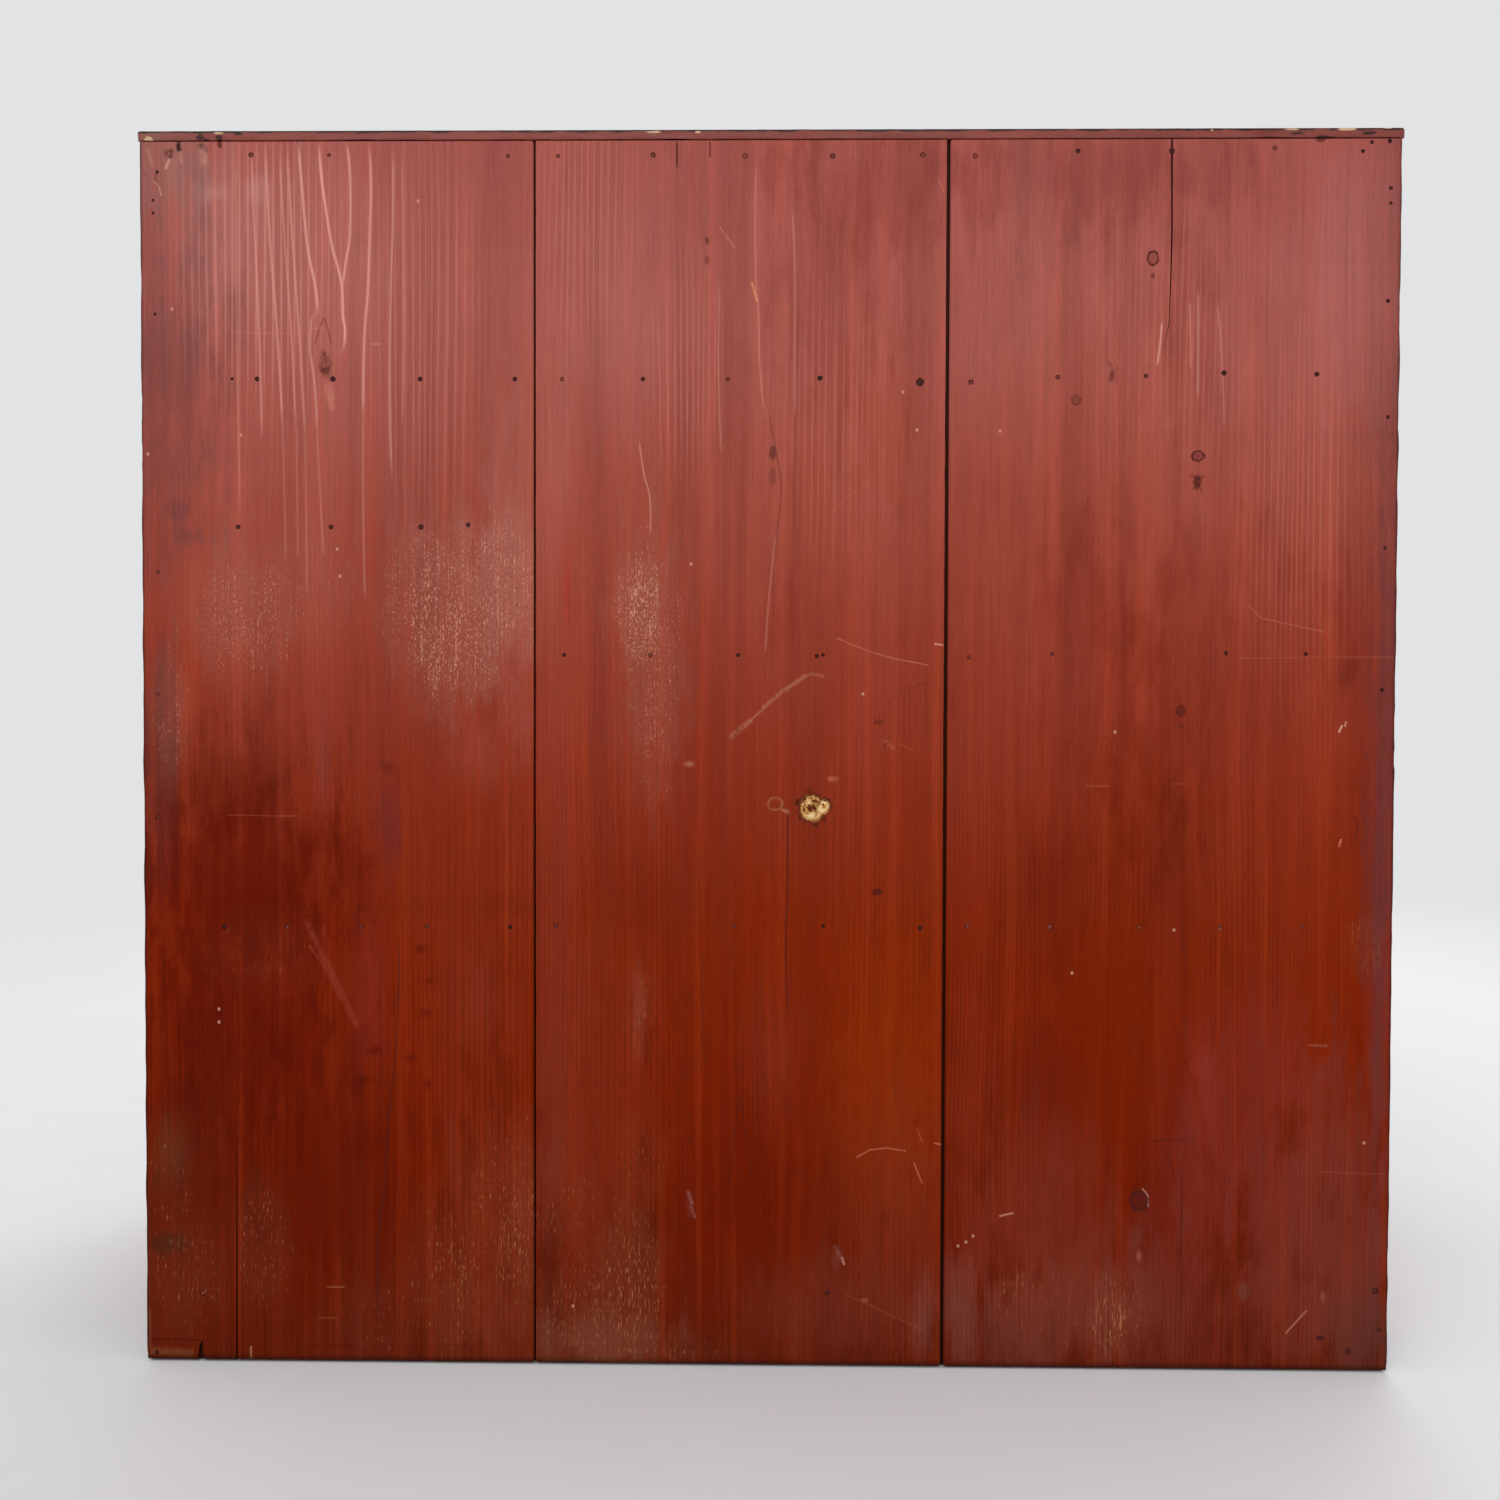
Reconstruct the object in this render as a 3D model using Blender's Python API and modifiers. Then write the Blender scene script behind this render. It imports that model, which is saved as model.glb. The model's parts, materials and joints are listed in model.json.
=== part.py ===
"""A tansu, three shaku wide, in red-stained cedar with iron fittings.

Metres, +Z up, the front faces -Y. The origin is on the floor, at the centre of the footprint that the
chest covers with its handles. Left and right are those of someone who stands before the drawers.
"""

import math

import bmesh
import bpy
from mathutils import Vector

# Case
CASE_WIDTH = 0.909
CASE_HEIGHT = 0.896
CASE_DEPTH = 0.424
TOP_THICKNESS = 0.022
TOP_LIP = 0.0072  # height of the top board's edge that shows above the back boards
SIDE_THICKNESS = 0.018
SHELF_THICKNESS = 0.015
DIVIDER_THICKNESS = 0.016
BOTTOM_THICKNESS = 0.018
APRON_THICKNESS = 0.018
APRON_SETBACK = 0.004
BOARD_ARRIS = 0.0012  # the worn corner along a board's edges
FINGER_COUNT = 7  # fingers of each top corner, the outer ones on the top board
DADO_DEPTH = 0.005  # how far a shelf is let into the board that carries it

# Middle planes of the boards inside the case
UPPER_SHELF_HEIGHT = 0.719
RIGHT_SHELF_HEIGHT = 0.612
LEFT_SHELF_HEIGHT = 0.520
LOWER_SHELF_HEIGHT = 0.320
BOTTOM_BOARD_HEIGHT = 0.050
DIVIDER_X = 0.182

# Back boards, lapped over each other at two seams
BACK_THICKNESS = 0.009
BACK_LAP = 0.008
RIGHT_SEAM_X = 0.167
RIGHT_SEAM_GAP = 0.0013
LEFT_SEAM_X = -0.130
LEFT_SEAM_GAP = 0.0025
BACK_SHRINKAGE = 0.0012  # the boards have shrunk this far inside the case's sides
BACK_FLOOR_GAP = 0.0015

# Drawers
DRAWER_FRONT_THICKNESS = 0.018
DRAWER_SIDE_THICKNESS = 0.010
DRAWER_BACK_THICKNESS = 0.010
DRAWER_BOTTOM_THICKNESS = 0.008
DRAWER_FRONT_LAP = 0.010  # depth of the rabbets behind a drawer's front
DRAWER_SIDE_CLEARANCE = 0.001
DRAWER_TOP_CLEARANCE = 0.0015
DRAWER_REAR_CLEARANCE = 0.006
DRAWER_SIDE_DROP = 0.004  # the sides stand this far below the front's upper edge

# Handles: a plate, two eyes and a bail
PLATE_THICKNESS = 0.0015
EYE_STANDOFF = 0.010  # from the plate's face to the axis of the bail
EYE_WALL = 0.002
EYE_WIDTH = 0.005
EYE_CLEARANCE = 0.0005
STEM_RADIUS = 0.0022
BAIL_END_RADIUS = 0.0026
BAIL_ARM_RADIUS = 0.0032
BAIL_GRIP_RADIUS = 0.0042
BAIL_TIP_RADIUS = 0.0016
BAIL_CORNER = 0.013
BAIL_SHOULDER = 0.006
BAIL_CURL = 0.003
BAIL_TIP_MARGIN = 0.0035  # straight part of the bail beyond its eye
HANDLE_RISE = 0.012  # the bail's axis above the middle of the drawer's front
LARGE_EYE_SPACING = 0.104
LARGE_BAIL_DROP = 0.044
LARGE_PLATE_RADIUS = 0.017
LARGE_PLATE_WAIST = 0.018
SMALL_EYE_SPACING = 0.074
SMALL_BAIL_DROP = 0.034
SMALL_PLATE_RADIUS = 0.014
SMALL_PLATE_WAIST = 0.014
TOP_HANDLE_INSET = 0.205  # from the end of the drawer to the middle of the handle
WIDE_HANDLE_INSET = 0.145

# Safe door
DOOR_THICKNESS = 0.018
DOOR_GAP = 0.0015
CLEAT_HEIGHT = 0.034
CLEAT_TONGUE_THICKNESS = 0.006
CLEAT_TONGUE_DEPTH = 0.012
HINGE_LENGTH = 0.046
HINGE_INSET = 0.062  # from the door's end to the middle of a hinge
HINGE_LEAF_THICKNESS = 0.0012
HINGE_CASE_LEAF_WIDTH = 0.013
HINGE_DOOR_LEAF_WIDTH = 0.042
HINGE_KNUCKLE_RADIUS = 0.003
HINGE_PIN_RADIUS = 0.0015
HINGE_PIN_CLEARANCE = 0.0004
HINGE_RELIEF = 0.0006  # room round a knuckle in the other leaf
RING_PLATE_RADIUS = 0.024
RING_RADIUS = 0.017
RING_WIRE_RADIUS = 0.0022
RING_CLEARANCE = 0.0008
RING_DOOR_INSET = 0.034  # from the door's free edge to the ring's eye

# Sliding doors
SLIDER_THICKNESS = 0.014
SLIDER_SETBACK = 0.006  # from the case's front to the face of the front door
SLIDER_TRACK_GAP = 0.003
SLIDER_OVERLAP = 0.030
SLIDER_END_CLEARANCE = 0.0008
SLIDER_FACE_CLEARANCE = 0.001
TONGUE_THICKNESS = 0.007
TONGUE_CLEARANCE = 0.0005
UPPER_GROOVE_DEPTH = 0.008
LOWER_GROOVE_DEPTH = 0.003
UPPER_TONGUE = 0.005
PULL_INSET = 0.052  # from a door's outer edge to the middle of its finger pull
PULL_LENGTH = 0.058
PULL_WIDTH = 0.020
PULL_DEPTH = 0.006

FIT = 0.0003  # gap between faces that seat on each other
OVERCUT = 0.002  # how far a cutter runs past the face that it opens
WELD = 0.00001
ARC_STEPS = 14
ROUND_SIDES = 16

# Planes that several pieces share
EYE_BORE = BAIL_END_RADIUS + EYE_CLEARANCE
EYE_RADIUS = EYE_BORE + EYE_WALL
HANDLE_REACH = FIT + PLATE_THICKNESS + EYE_STANDOFF + max(EYE_RADIUS, BAIL_GRIP_RADIUS)
BACK_Y = (CASE_DEPTH + HANDLE_REACH) / 2
FRONT_Y = BACK_Y - CASE_DEPTH
REAR_Y = BACK_Y - BACK_THICKNESS - FIT  # where the boards inside the case end
OUTER_X = CASE_WIDTH / 2
INNER_X = OUTER_X - SIDE_THICKNESS
TOP_UNDERSIDE = CASE_HEIGHT - TOP_THICKNESS
UPPER_SHELF_TOP = UPPER_SHELF_HEIGHT + SHELF_THICKNESS / 2
UPPER_SHELF_UNDERSIDE = UPPER_SHELF_HEIGHT - SHELF_THICKNESS / 2
LOWER_SHELF_TOP = LOWER_SHELF_HEIGHT + SHELF_THICKNESS / 2
LOWER_SHELF_UNDERSIDE = LOWER_SHELF_HEIGHT - SHELF_THICKNESS / 2
LEFT_SHELF_TOP = LEFT_SHELF_HEIGHT + SHELF_THICKNESS / 2
LEFT_SHELF_UNDERSIDE = LEFT_SHELF_HEIGHT - SHELF_THICKNESS / 2
RIGHT_SHELF_TOP = RIGHT_SHELF_HEIGHT + SHELF_THICKNESS / 2
RIGHT_SHELF_UNDERSIDE = RIGHT_SHELF_HEIGHT - SHELF_THICKNESS / 2
BOTTOM_TOP = BOTTOM_BOARD_HEIGHT + BOTTOM_THICKNESS / 2
BOTTOM_UNDERSIDE = BOTTOM_BOARD_HEIGHT - BOTTOM_THICKNESS / 2
DIVIDER_LEFT = DIVIDER_X - DIVIDER_THICKNESS / 2
DIVIDER_RIGHT = DIVIDER_X + DIVIDER_THICKNESS / 2


def clear_scene():
    for old in list(bpy.data.objects):
        bpy.data.objects.remove(old, do_unlink=True)


def new_collection(name):
    made = bpy.data.collections.new(name)
    bpy.context.scene.collection.children.link(made)
    return made


def finish(name, color, roughness, metallic=0.0):
    made = bpy.data.materials.new(name)
    made.use_nodes = True
    shader = made.node_tree.nodes["Principled BSDF"]
    shader.inputs["Base Color"].default_value = (*color, 1.0)
    shader.inputs["Roughness"].default_value = roughness
    shader.inputs["Metallic"].default_value = metallic
    return made


clear_scene()
PARTS = new_collection("tansu")
CUTTERS = new_collection("tansu_cutters")
STAINED_CEDAR = finish("stained_cedar", (0.28, 0.055, 0.03), 0.5)
LACQUERED_FRONT = finish("lacquered_front", (0.16, 0.035, 0.02), 0.38)
BARE_WOOD = finish("bare_wood", (0.45, 0.30, 0.17), 0.7)
BLACK_IRON = finish("black_iron", (0.025, 0.023, 0.022), 0.45, 0.9)


def world_place(made):
    """Where an object lies, adding up the places of what carries it."""
    return made.location + world_place(made.parent) if made.parent else made.location.copy()


def place(made, point, carrier):
    made.location = Vector(point)
    if carrier:
        made.parent = carrier
        made.location -= world_place(carrier)


def carrier_at(name, point, carrier=None):
    """An empty that the pieces of one moving body hang from."""
    made = bpy.data.objects.new(name, None)
    PARTS.objects.link(made)
    place(made, point, carrier)
    return made


def dress(made, material):
    made.data.materials.append(material)
    PARTS.objects.link(made)
    return made


def as_cutter(made):
    made.hide_render = True
    made.display_type = "WIRE"
    CUTTERS.objects.link(made)
    return made


def box_shape(name, low, high, carrier):
    low, high = Vector(low), Vector(high)
    mesh = bpy.data.meshes.new(name)
    shape = bmesh.new()
    bmesh.ops.create_cube(shape, size=1.0)
    bmesh.ops.scale(shape, vec=high - low, verts=shape.verts)
    shape.to_mesh(mesh)
    shape.free()
    made = bpy.data.objects.new(name, mesh)
    place(made, (low + high) / 2, carrier)
    return made


def round_shape(name, start, end, radius, carrier):
    """A cylinder between two points."""
    start, end = Vector(start), Vector(end)
    mesh = bpy.data.meshes.new(name)
    shape = bmesh.new()
    bmesh.ops.create_cone(
        shape, cap_ends=True, segments=ROUND_SIDES, radius1=radius, radius2=radius, depth=(end - start).length
    )
    shape.to_mesh(mesh)
    shape.free()
    mesh.shade_smooth()
    mesh.set_sharp_from_angle(angle=math.radians(40))
    made = bpy.data.objects.new(name, mesh)
    made.rotation_euler = (end - start).to_track_quat("Z", "Y").to_euler()
    place(made, (start + end) / 2, carrier)
    return made


def board(name, low, high, material, carrier=None):
    """A sawn board between two corners, with its edges eased."""
    made = dress(box_shape(name, low, high, carrier), material)
    arris = made.modifiers.new("arris", "BEVEL")
    arris.width = BOARD_ARRIS
    arris.segments = 1
    return made


def shape_with(made, operation, tool):
    step = made.modifiers.new(tool.name, "BOOLEAN")
    step.operation = operation
    step.object = as_cutter(tool)
    return made


def cut_box(made, name, low, high):
    return shape_with(made, "DIFFERENCE", box_shape(name, low, high, made.parent))


def add_box(made, name, low, high):
    return shape_with(made, "UNION", box_shape(name, low, high, made.parent))


def cut_round(made, name, start, end, radius):
    return shape_with(made, "DIFFERENCE", round_shape(name, start, end, radius, made.parent))


def add_round(made, name, start, end, radius):
    return shape_with(made, "UNION", round_shape(name, start, end, radius, made.parent))


def outline_shape(name, outline, thickness, centre, carrier):
    """A plate of the given outline, upright and facing the front."""
    curve = bpy.data.curves.new(name, "CURVE")
    curve.dimensions = "2D"
    curve.fill_mode = "BOTH"
    curve.extrude = thickness / 2
    spline = curve.splines.new("POLY")
    spline.points.add(len(outline) - 1)
    for point, (x, y) in zip(spline.points, outline):
        point.co = (x, y, 0, 1)
    spline.use_cyclic_u = True
    guide = bpy.data.objects.new(name + "_outline", curve)
    PARTS.objects.link(guide)
    bpy.context.view_layer.update()
    graph = bpy.context.evaluated_depsgraph_get()
    mesh = bpy.data.meshes.new_from_object(guide.evaluated_get(graph))
    bpy.data.objects.remove(guide, do_unlink=True)
    shape = bmesh.new()
    shape.from_mesh(mesh)
    bmesh.ops.remove_doubles(shape, verts=shape.verts, dist=WELD)
    bmesh.ops.recalc_face_normals(shape, faces=shape.faces)
    shape.to_mesh(mesh)
    shape.free()
    made = bpy.data.objects.new(name, mesh)
    made.rotation_euler = (math.pi / 2, 0, 0)
    place(made, centre, carrier)
    return made


def finger_edges(index):
    """Front and rear ends of one finger of a top corner."""
    pitch = (REAR_Y - FRONT_Y) / FINGER_COUNT
    return FRONT_Y + index * pitch, FRONT_Y + (index + 1) * pitch


def top_board():
    made = board("top_board", (-OUTER_X, FRONT_Y, TOP_UNDERSIDE), (OUTER_X, BACK_Y, CASE_HEIGHT), STAINED_CEDAR)
    cut_box(
        made,
        "top_rabbet",
        (-OUTER_X - OVERCUT, REAR_Y, TOP_UNDERSIDE - OVERCUT),
        (OUTER_X + OVERCUT, BACK_Y + OVERCUT, CASE_HEIGHT - TOP_LIP),
    )
    for index in range(1, FINGER_COUNT, 2):
        front, rear = finger_edges(index)
        for side, near, far in (("left", -OUTER_X - OVERCUT, -INNER_X), ("right", INNER_X, OUTER_X + OVERCUT)):
            cut_box(
                made,
                f"top_socket_{side}_{index}",
                (near - FIT, front - FIT / 2, TOP_UNDERSIDE - OVERCUT),
                (far + FIT, rear + FIT / 2, CASE_HEIGHT + OVERCUT),
            )


def side_board(side, sign):
    """One side, with fingers at the top and a dado for each board that it carries."""
    outer, inner = sign * OUTER_X, sign * INNER_X
    low_x, high_x = sorted((outer, inner))
    made = board(f"side_board_{side}", (low_x, FRONT_Y, 0), (high_x, REAR_Y, CASE_HEIGHT), STAINED_CEDAR)
    for index in range(0, FINGER_COUNT, 2):
        front, rear = finger_edges(index)
        before = OVERCUT if index == 0 else FIT / 2
        after = OVERCUT if index == FINGER_COUNT - 1 else FIT / 2
        cut_box(
            made,
            f"side_socket_{side}_{index}",
            (low_x - OVERCUT, front - before, TOP_UNDERSIDE - FIT),
            (high_x + OVERCUT, rear + after, CASE_HEIGHT + OVERCUT),
        )
    carried = {"upper": UPPER_SHELF_HEIGHT, "lower": LOWER_SHELF_HEIGHT}
    carried["middle"] = LEFT_SHELF_HEIGHT if sign < 0 else RIGHT_SHELF_HEIGHT
    for level, height in carried.items():
        side_dado(made, f"dado_{side}_{level}", inner, sign, height, SHELF_THICKNESS)
    side_dado(made, f"dado_{side}_bottom", inner, sign, BOTTOM_BOARD_HEIGHT, BOTTOM_THICKNESS)


def side_dado(made, name, face, sign, height, thickness):
    """A groove across a board's face at X = face, cut towards the side that sign points to."""
    low_x, high_x = sorted((face - sign * OVERCUT, face + sign * DADO_DEPTH))
    half = thickness / 2 + FIT
    cut_box(
        made, name, (low_x, FRONT_Y - OVERCUT, height - half), (high_x, REAR_Y + OVERCUT, height + half)
    )


def shelf(name, left, right, height, thickness=SHELF_THICKNESS):
    """A board whose ends are let into dados at its left and right."""
    let_in = DADO_DEPTH - FIT
    return board(
        name,
        (left - let_in, FRONT_Y, height - thickness / 2),
        (right + let_in, REAR_Y, height + thickness / 2),
        STAINED_CEDAR,
    )


def shelves_and_divider():
    upper = shelf("shelf_upper", -INNER_X, INNER_X, UPPER_SHELF_HEIGHT)
    lower = shelf("shelf_lower", -INNER_X, INNER_X, LOWER_SHELF_HEIGHT)
    bottom = shelf("bottom_board", -INNER_X, INNER_X, BOTTOM_BOARD_HEIGHT, BOTTOM_THICKNESS)
    shelf("shelf_left", -INNER_X, DIVIDER_LEFT, LEFT_SHELF_HEIGHT)
    shelf("shelf_right", DIVIDER_RIGHT, INNER_X, RIGHT_SHELF_HEIGHT)
    divider = board(
        "divider",
        (DIVIDER_LEFT, FRONT_Y, LOWER_SHELF_TOP - DADO_DEPTH + FIT),
        (DIVIDER_RIGHT, REAR_Y, UPPER_SHELF_UNDERSIDE + DADO_DEPTH - FIT),
        STAINED_CEDAR,
    )
    side_dado(divider, "dado_divider_left", DIVIDER_LEFT, 1, LEFT_SHELF_HEIGHT, SHELF_THICKNESS)
    side_dado(divider, "dado_divider_right", DIVIDER_RIGHT, -1, RIGHT_SHELF_HEIGHT, SHELF_THICKNESS)
    for carrying, face, sign in ((upper, UPPER_SHELF_UNDERSIDE, 1), (lower, LOWER_SHELF_TOP, -1)):
        low_z, high_z = sorted((face - sign * OVERCUT, face + sign * DADO_DEPTH))
        cut_box(
            carrying,
            f"dado_{carrying.name}_divider",
            (DIVIDER_LEFT - FIT, FRONT_Y - OVERCUT, low_z),
            (DIVIDER_RIGHT + FIT, REAR_Y + OVERCUT, high_z),
        )
    for track in ("front", "rear"):
        middle = track_middle(track)
        half = TONGUE_THICKNESS / 2 + TONGUE_CLEARANCE
        cut_box(
            lower,
            f"upper_groove_{track}",
            (-INNER_X, middle - half, LOWER_SHELF_UNDERSIDE - OVERCUT),
            (INNER_X, middle + half, LOWER_SHELF_UNDERSIDE + UPPER_GROOVE_DEPTH),
        )
        cut_box(
            bottom,
            f"lower_groove_{track}",
            (-INNER_X, middle - half, BOTTOM_TOP - LOWER_GROOVE_DEPTH),
            (INNER_X, middle + half, BOTTOM_TOP + OVERCUT),
        )
    board(
        "apron",
        (-INNER_X + FIT, FRONT_Y + APRON_SETBACK, 0),
        (INNER_X - FIT, FRONT_Y + APRON_SETBACK + APRON_THICKNESS, BOTTOM_UNDERSIDE - FIT),
        STAINED_CEDAR,
    )


def back_boards():
    """Three upright boards; the middle one has a tongue behind each neighbour."""
    edge = OUTER_X - BACK_SHRINKAGE
    face = BACK_Y - BACK_THICKNESS / 2  # where the lapped halves meet
    inside = BACK_Y - BACK_THICKNESS
    low_z, high_z = BACK_FLOOR_GAP, CASE_HEIGHT - TOP_LIP - FIT
    left_seam = LEFT_SEAM_X - LEFT_SEAM_GAP / 2, LEFT_SEAM_X + LEFT_SEAM_GAP / 2
    right_seam = RIGHT_SEAM_X - RIGHT_SEAM_GAP / 2, RIGHT_SEAM_X + RIGHT_SEAM_GAP / 2
    middle = board(
        "back_board_middle",
        (left_seam[1] - BACK_LAP, inside, low_z),
        (right_seam[0] + BACK_LAP, BACK_Y, high_z),
        STAINED_CEDAR,
    )
    for side, near, far in (
        ("left", left_seam[1] - BACK_LAP - OVERCUT, left_seam[1]),
        ("right", right_seam[0], right_seam[0] + BACK_LAP + OVERCUT),
    ):
        cut_box(
            middle,
            f"middle_lap_{side}",
            (near, face - FIT / 2, low_z - OVERCUT),
            (far, BACK_Y + OVERCUT, high_z + OVERCUT),
        )
    for side, near, far, lap_near, lap_far in (
        ("left", -edge, left_seam[0], left_seam[1] - BACK_LAP - FIT, left_seam[0] + OVERCUT),
        ("right", right_seam[1], edge, right_seam[1] - OVERCUT, right_seam[0] + BACK_LAP + FIT),
    ):
        outer = board(f"back_board_{side}", (near, inside, low_z), (far, BACK_Y, high_z), STAINED_CEDAR)
        cut_box(
            outer,
            f"outer_lap_{side}",
            (lap_near, inside - OVERCUT, low_z - OVERCUT),
            (lap_far, face + FIT / 2, high_z + OVERCUT),
        )


def drawer(name, left, right, floor, ceiling):
    """A drawer that fills one opening of the case. Returns its carrier and the box of its front."""
    low_x, high_x = left + DRAWER_SIDE_CLEARANCE, right - DRAWER_SIDE_CLEARANCE
    underside = floor + FIT
    inside_floor = underside + DRAWER_BOTTOM_THICKNESS + FIT
    front_low, front_high = floor + DRAWER_SIDE_CLEARANCE, ceiling - DRAWER_TOP_CLEARANCE
    side_high = front_high - DRAWER_SIDE_DROP
    front_rear = FRONT_Y + DRAWER_FRONT_THICKNESS
    seat = front_rear - DRAWER_FRONT_LAP
    rear = REAR_Y - DRAWER_REAR_CLEARANCE
    carrier = carrier_at(name, ((left + right) / 2, FRONT_Y, (floor + ceiling) / 2))
    front = board(
        f"{name}_front", (low_x, FRONT_Y, front_low), (high_x, front_rear, front_high), LACQUERED_FRONT, carrier
    )
    cut_box(
        front,
        f"{name}_bottom_rabbet",
        (low_x - OVERCUT, seat, front_low - OVERCUT),
        (high_x + OVERCUT, front_rear + OVERCUT, inside_floor),
    )
    for side, outer, inward in (("left", low_x, 1), ("right", high_x, -1)):
        rabbet_x = sorted((outer - inward * OVERCUT, outer + inward * (DRAWER_SIDE_THICKNESS + FIT)))
        cut_box(
            front,
            f"{name}_{side}_rabbet",
            (rabbet_x[0], seat, front_low - OVERCUT),
            (rabbet_x[1], front_rear + OVERCUT, side_high + FIT),
        )
        side_x = sorted((outer, outer + inward * DRAWER_SIDE_THICKNESS))
        board(
            f"{name}_side_{side}",
            (side_x[0], seat + FIT, inside_floor),
            (side_x[1], rear, side_high),
            BARE_WOOD,
            carrier,
        )
    between = DRAWER_SIDE_THICKNESS + FIT
    board(
        f"{name}_back",
        (low_x + between, rear - DRAWER_BACK_THICKNESS, inside_floor),
        (high_x - between, rear, side_high),
        BARE_WOOD,
        carrier,
    )
    board(
        f"{name}_bottom",
        (low_x, seat + FIT, underside),
        (high_x, rear, underside + DRAWER_BOTTOM_THICKNESS),
        BARE_WOOD,
        carrier,
    )
    return carrier


def spectacle_outline(spacing, radius, waist):
    """Two discs joined by a narrower band."""
    turn = math.pi - math.asin(waist / 2 / radius)
    points = []
    for side in (1, -1):
        for step in range(ARC_STEPS + 1):
            angle = turn * (2 * step / ARC_STEPS - 1)
            points.append((side * (spacing / 2 + radius * math.cos(angle)), side * radius * math.sin(angle)))
    return points


def upright_slot(length, width):
    """A slot with round ends."""
    points = []
    for end in (1, -1):
        for step in range(ARC_STEPS + 1):
            angle = math.pi * step / ARC_STEPS
            across, along = width / 2 * math.cos(angle), width / 2 * math.sin(angle)
            points.append((end * across, end * (along + length / 2 - width / 2)))
    return points


def add_eye(made, name, x, z, face_y, bore):
    """An eye on a stem, forged to a plate whose face is at Y = face_y."""
    axis_y = face_y - EYE_STANDOFF
    half = EYE_WIDTH / 2
    add_round(made, f"{name}_stem", (x, face_y + PLATE_THICKNESS / 2, z), (x, axis_y, z), STEM_RADIUS)
    add_round(made, f"{name}_ring", (x - half, axis_y, z), (x + half, axis_y, z), bore + EYE_WALL)
    cut_round(made, f"{name}_bore", (x - EYE_WIDTH, axis_y, z), (x + EYE_WIDTH, axis_y, z), bore)


def arc_points(centre, radius, start, end, steps):
    """Points along an arc, leaving out its first point."""
    angles = [math.radians(start + (end - start) * step / steps) for step in range(1, steps + 1)]
    return [(centre[0] + radius * math.cos(a), centre[1] + radius * math.sin(a)) for a in angles]


def bail_half(spacing, drop):
    """Points (x, z, radius) of a bail's right half, from the middle of the grip to the curled tip."""
    eye_end = spacing / 2 + EYE_WIDTH / 2 + BAIL_TIP_MARGIN
    arm_x = spacing / 2 - EYE_WIDTH / 2 - BAIL_SHOULDER
    corner_x, corner_z = arm_x - BAIL_CORNER, BAIL_CORNER - drop
    points = [(corner_x / 2, -drop, BAIL_GRIP_RADIUS), (corner_x, -drop, BAIL_GRIP_RADIUS)]
    corner = arc_points((corner_x, corner_z), BAIL_CORNER, -90, 0, 4)
    for step, (x, z) in enumerate(corner, start=1):
        share = step / len(corner)
        points.append((x, z, BAIL_GRIP_RADIUS + share * (BAIL_ARM_RADIUS - BAIL_GRIP_RADIUS)))
    points.append((arm_x, -BAIL_SHOULDER, BAIL_END_RADIUS))
    for x, z in arc_points((arm_x + BAIL_SHOULDER, -BAIL_SHOULDER), BAIL_SHOULDER, 180, 90, 3):
        points.append((x, z, BAIL_END_RADIUS))
    points.append((eye_end, 0, BAIL_END_RADIUS))
    curl = arc_points((eye_end, BAIL_CURL), BAIL_CURL, -90, 120, 5)
    for step, (x, z) in enumerate(curl, start=1):
        share = step / len(curl)
        points.append((x, z, BAIL_END_RADIUS + share * (BAIL_TIP_RADIUS - BAIL_END_RADIUS)))
    return points


def bail(name, spacing, drop, axis_point, carrier):
    """A forged bail, its origin on the axis that runs through its two eyes."""
    half = bail_half(spacing, drop)
    points = [(-x, z, radius) for x, z, radius in reversed(half)] + half
    curve = bpy.data.curves.new(name, "CURVE")
    curve.dimensions = "3D"
    curve.bevel_depth = BAIL_GRIP_RADIUS
    curve.bevel_resolution = 2
    curve.use_fill_caps = True
    spline = curve.splines.new("POLY")
    spline.points.add(len(points) - 1)
    for point, (x, z, radius) in zip(spline.points, points):
        point.co = (x, 0, z, 1)
        point.radius = radius / BAIL_GRIP_RADIUS
    made = bpy.data.objects.new(name, curve)
    place(made, axis_point, carrier)
    return dress(made, BLACK_IRON)


def handle(name, x, z, spacing, drop, radius, waist, carrier):
    face_y = FRONT_Y - FIT - PLATE_THICKNESS
    outline = spectacle_outline(spacing, radius, waist)
    middle = (x, face_y + PLATE_THICKNESS / 2, z)
    plate = dress(outline_shape(f"{name}_plate", outline, PLATE_THICKNESS, middle, carrier), BLACK_IRON)
    for side, sign in (("left", -1), ("right", 1)):
        add_eye(plate, f"{name}_{side}_eye", x + sign * spacing / 2, z, face_y, EYE_BORE)
    bail(f"{name}_bail", spacing, drop, (x, face_y - EYE_STANDOFF, z), carrier)


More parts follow.
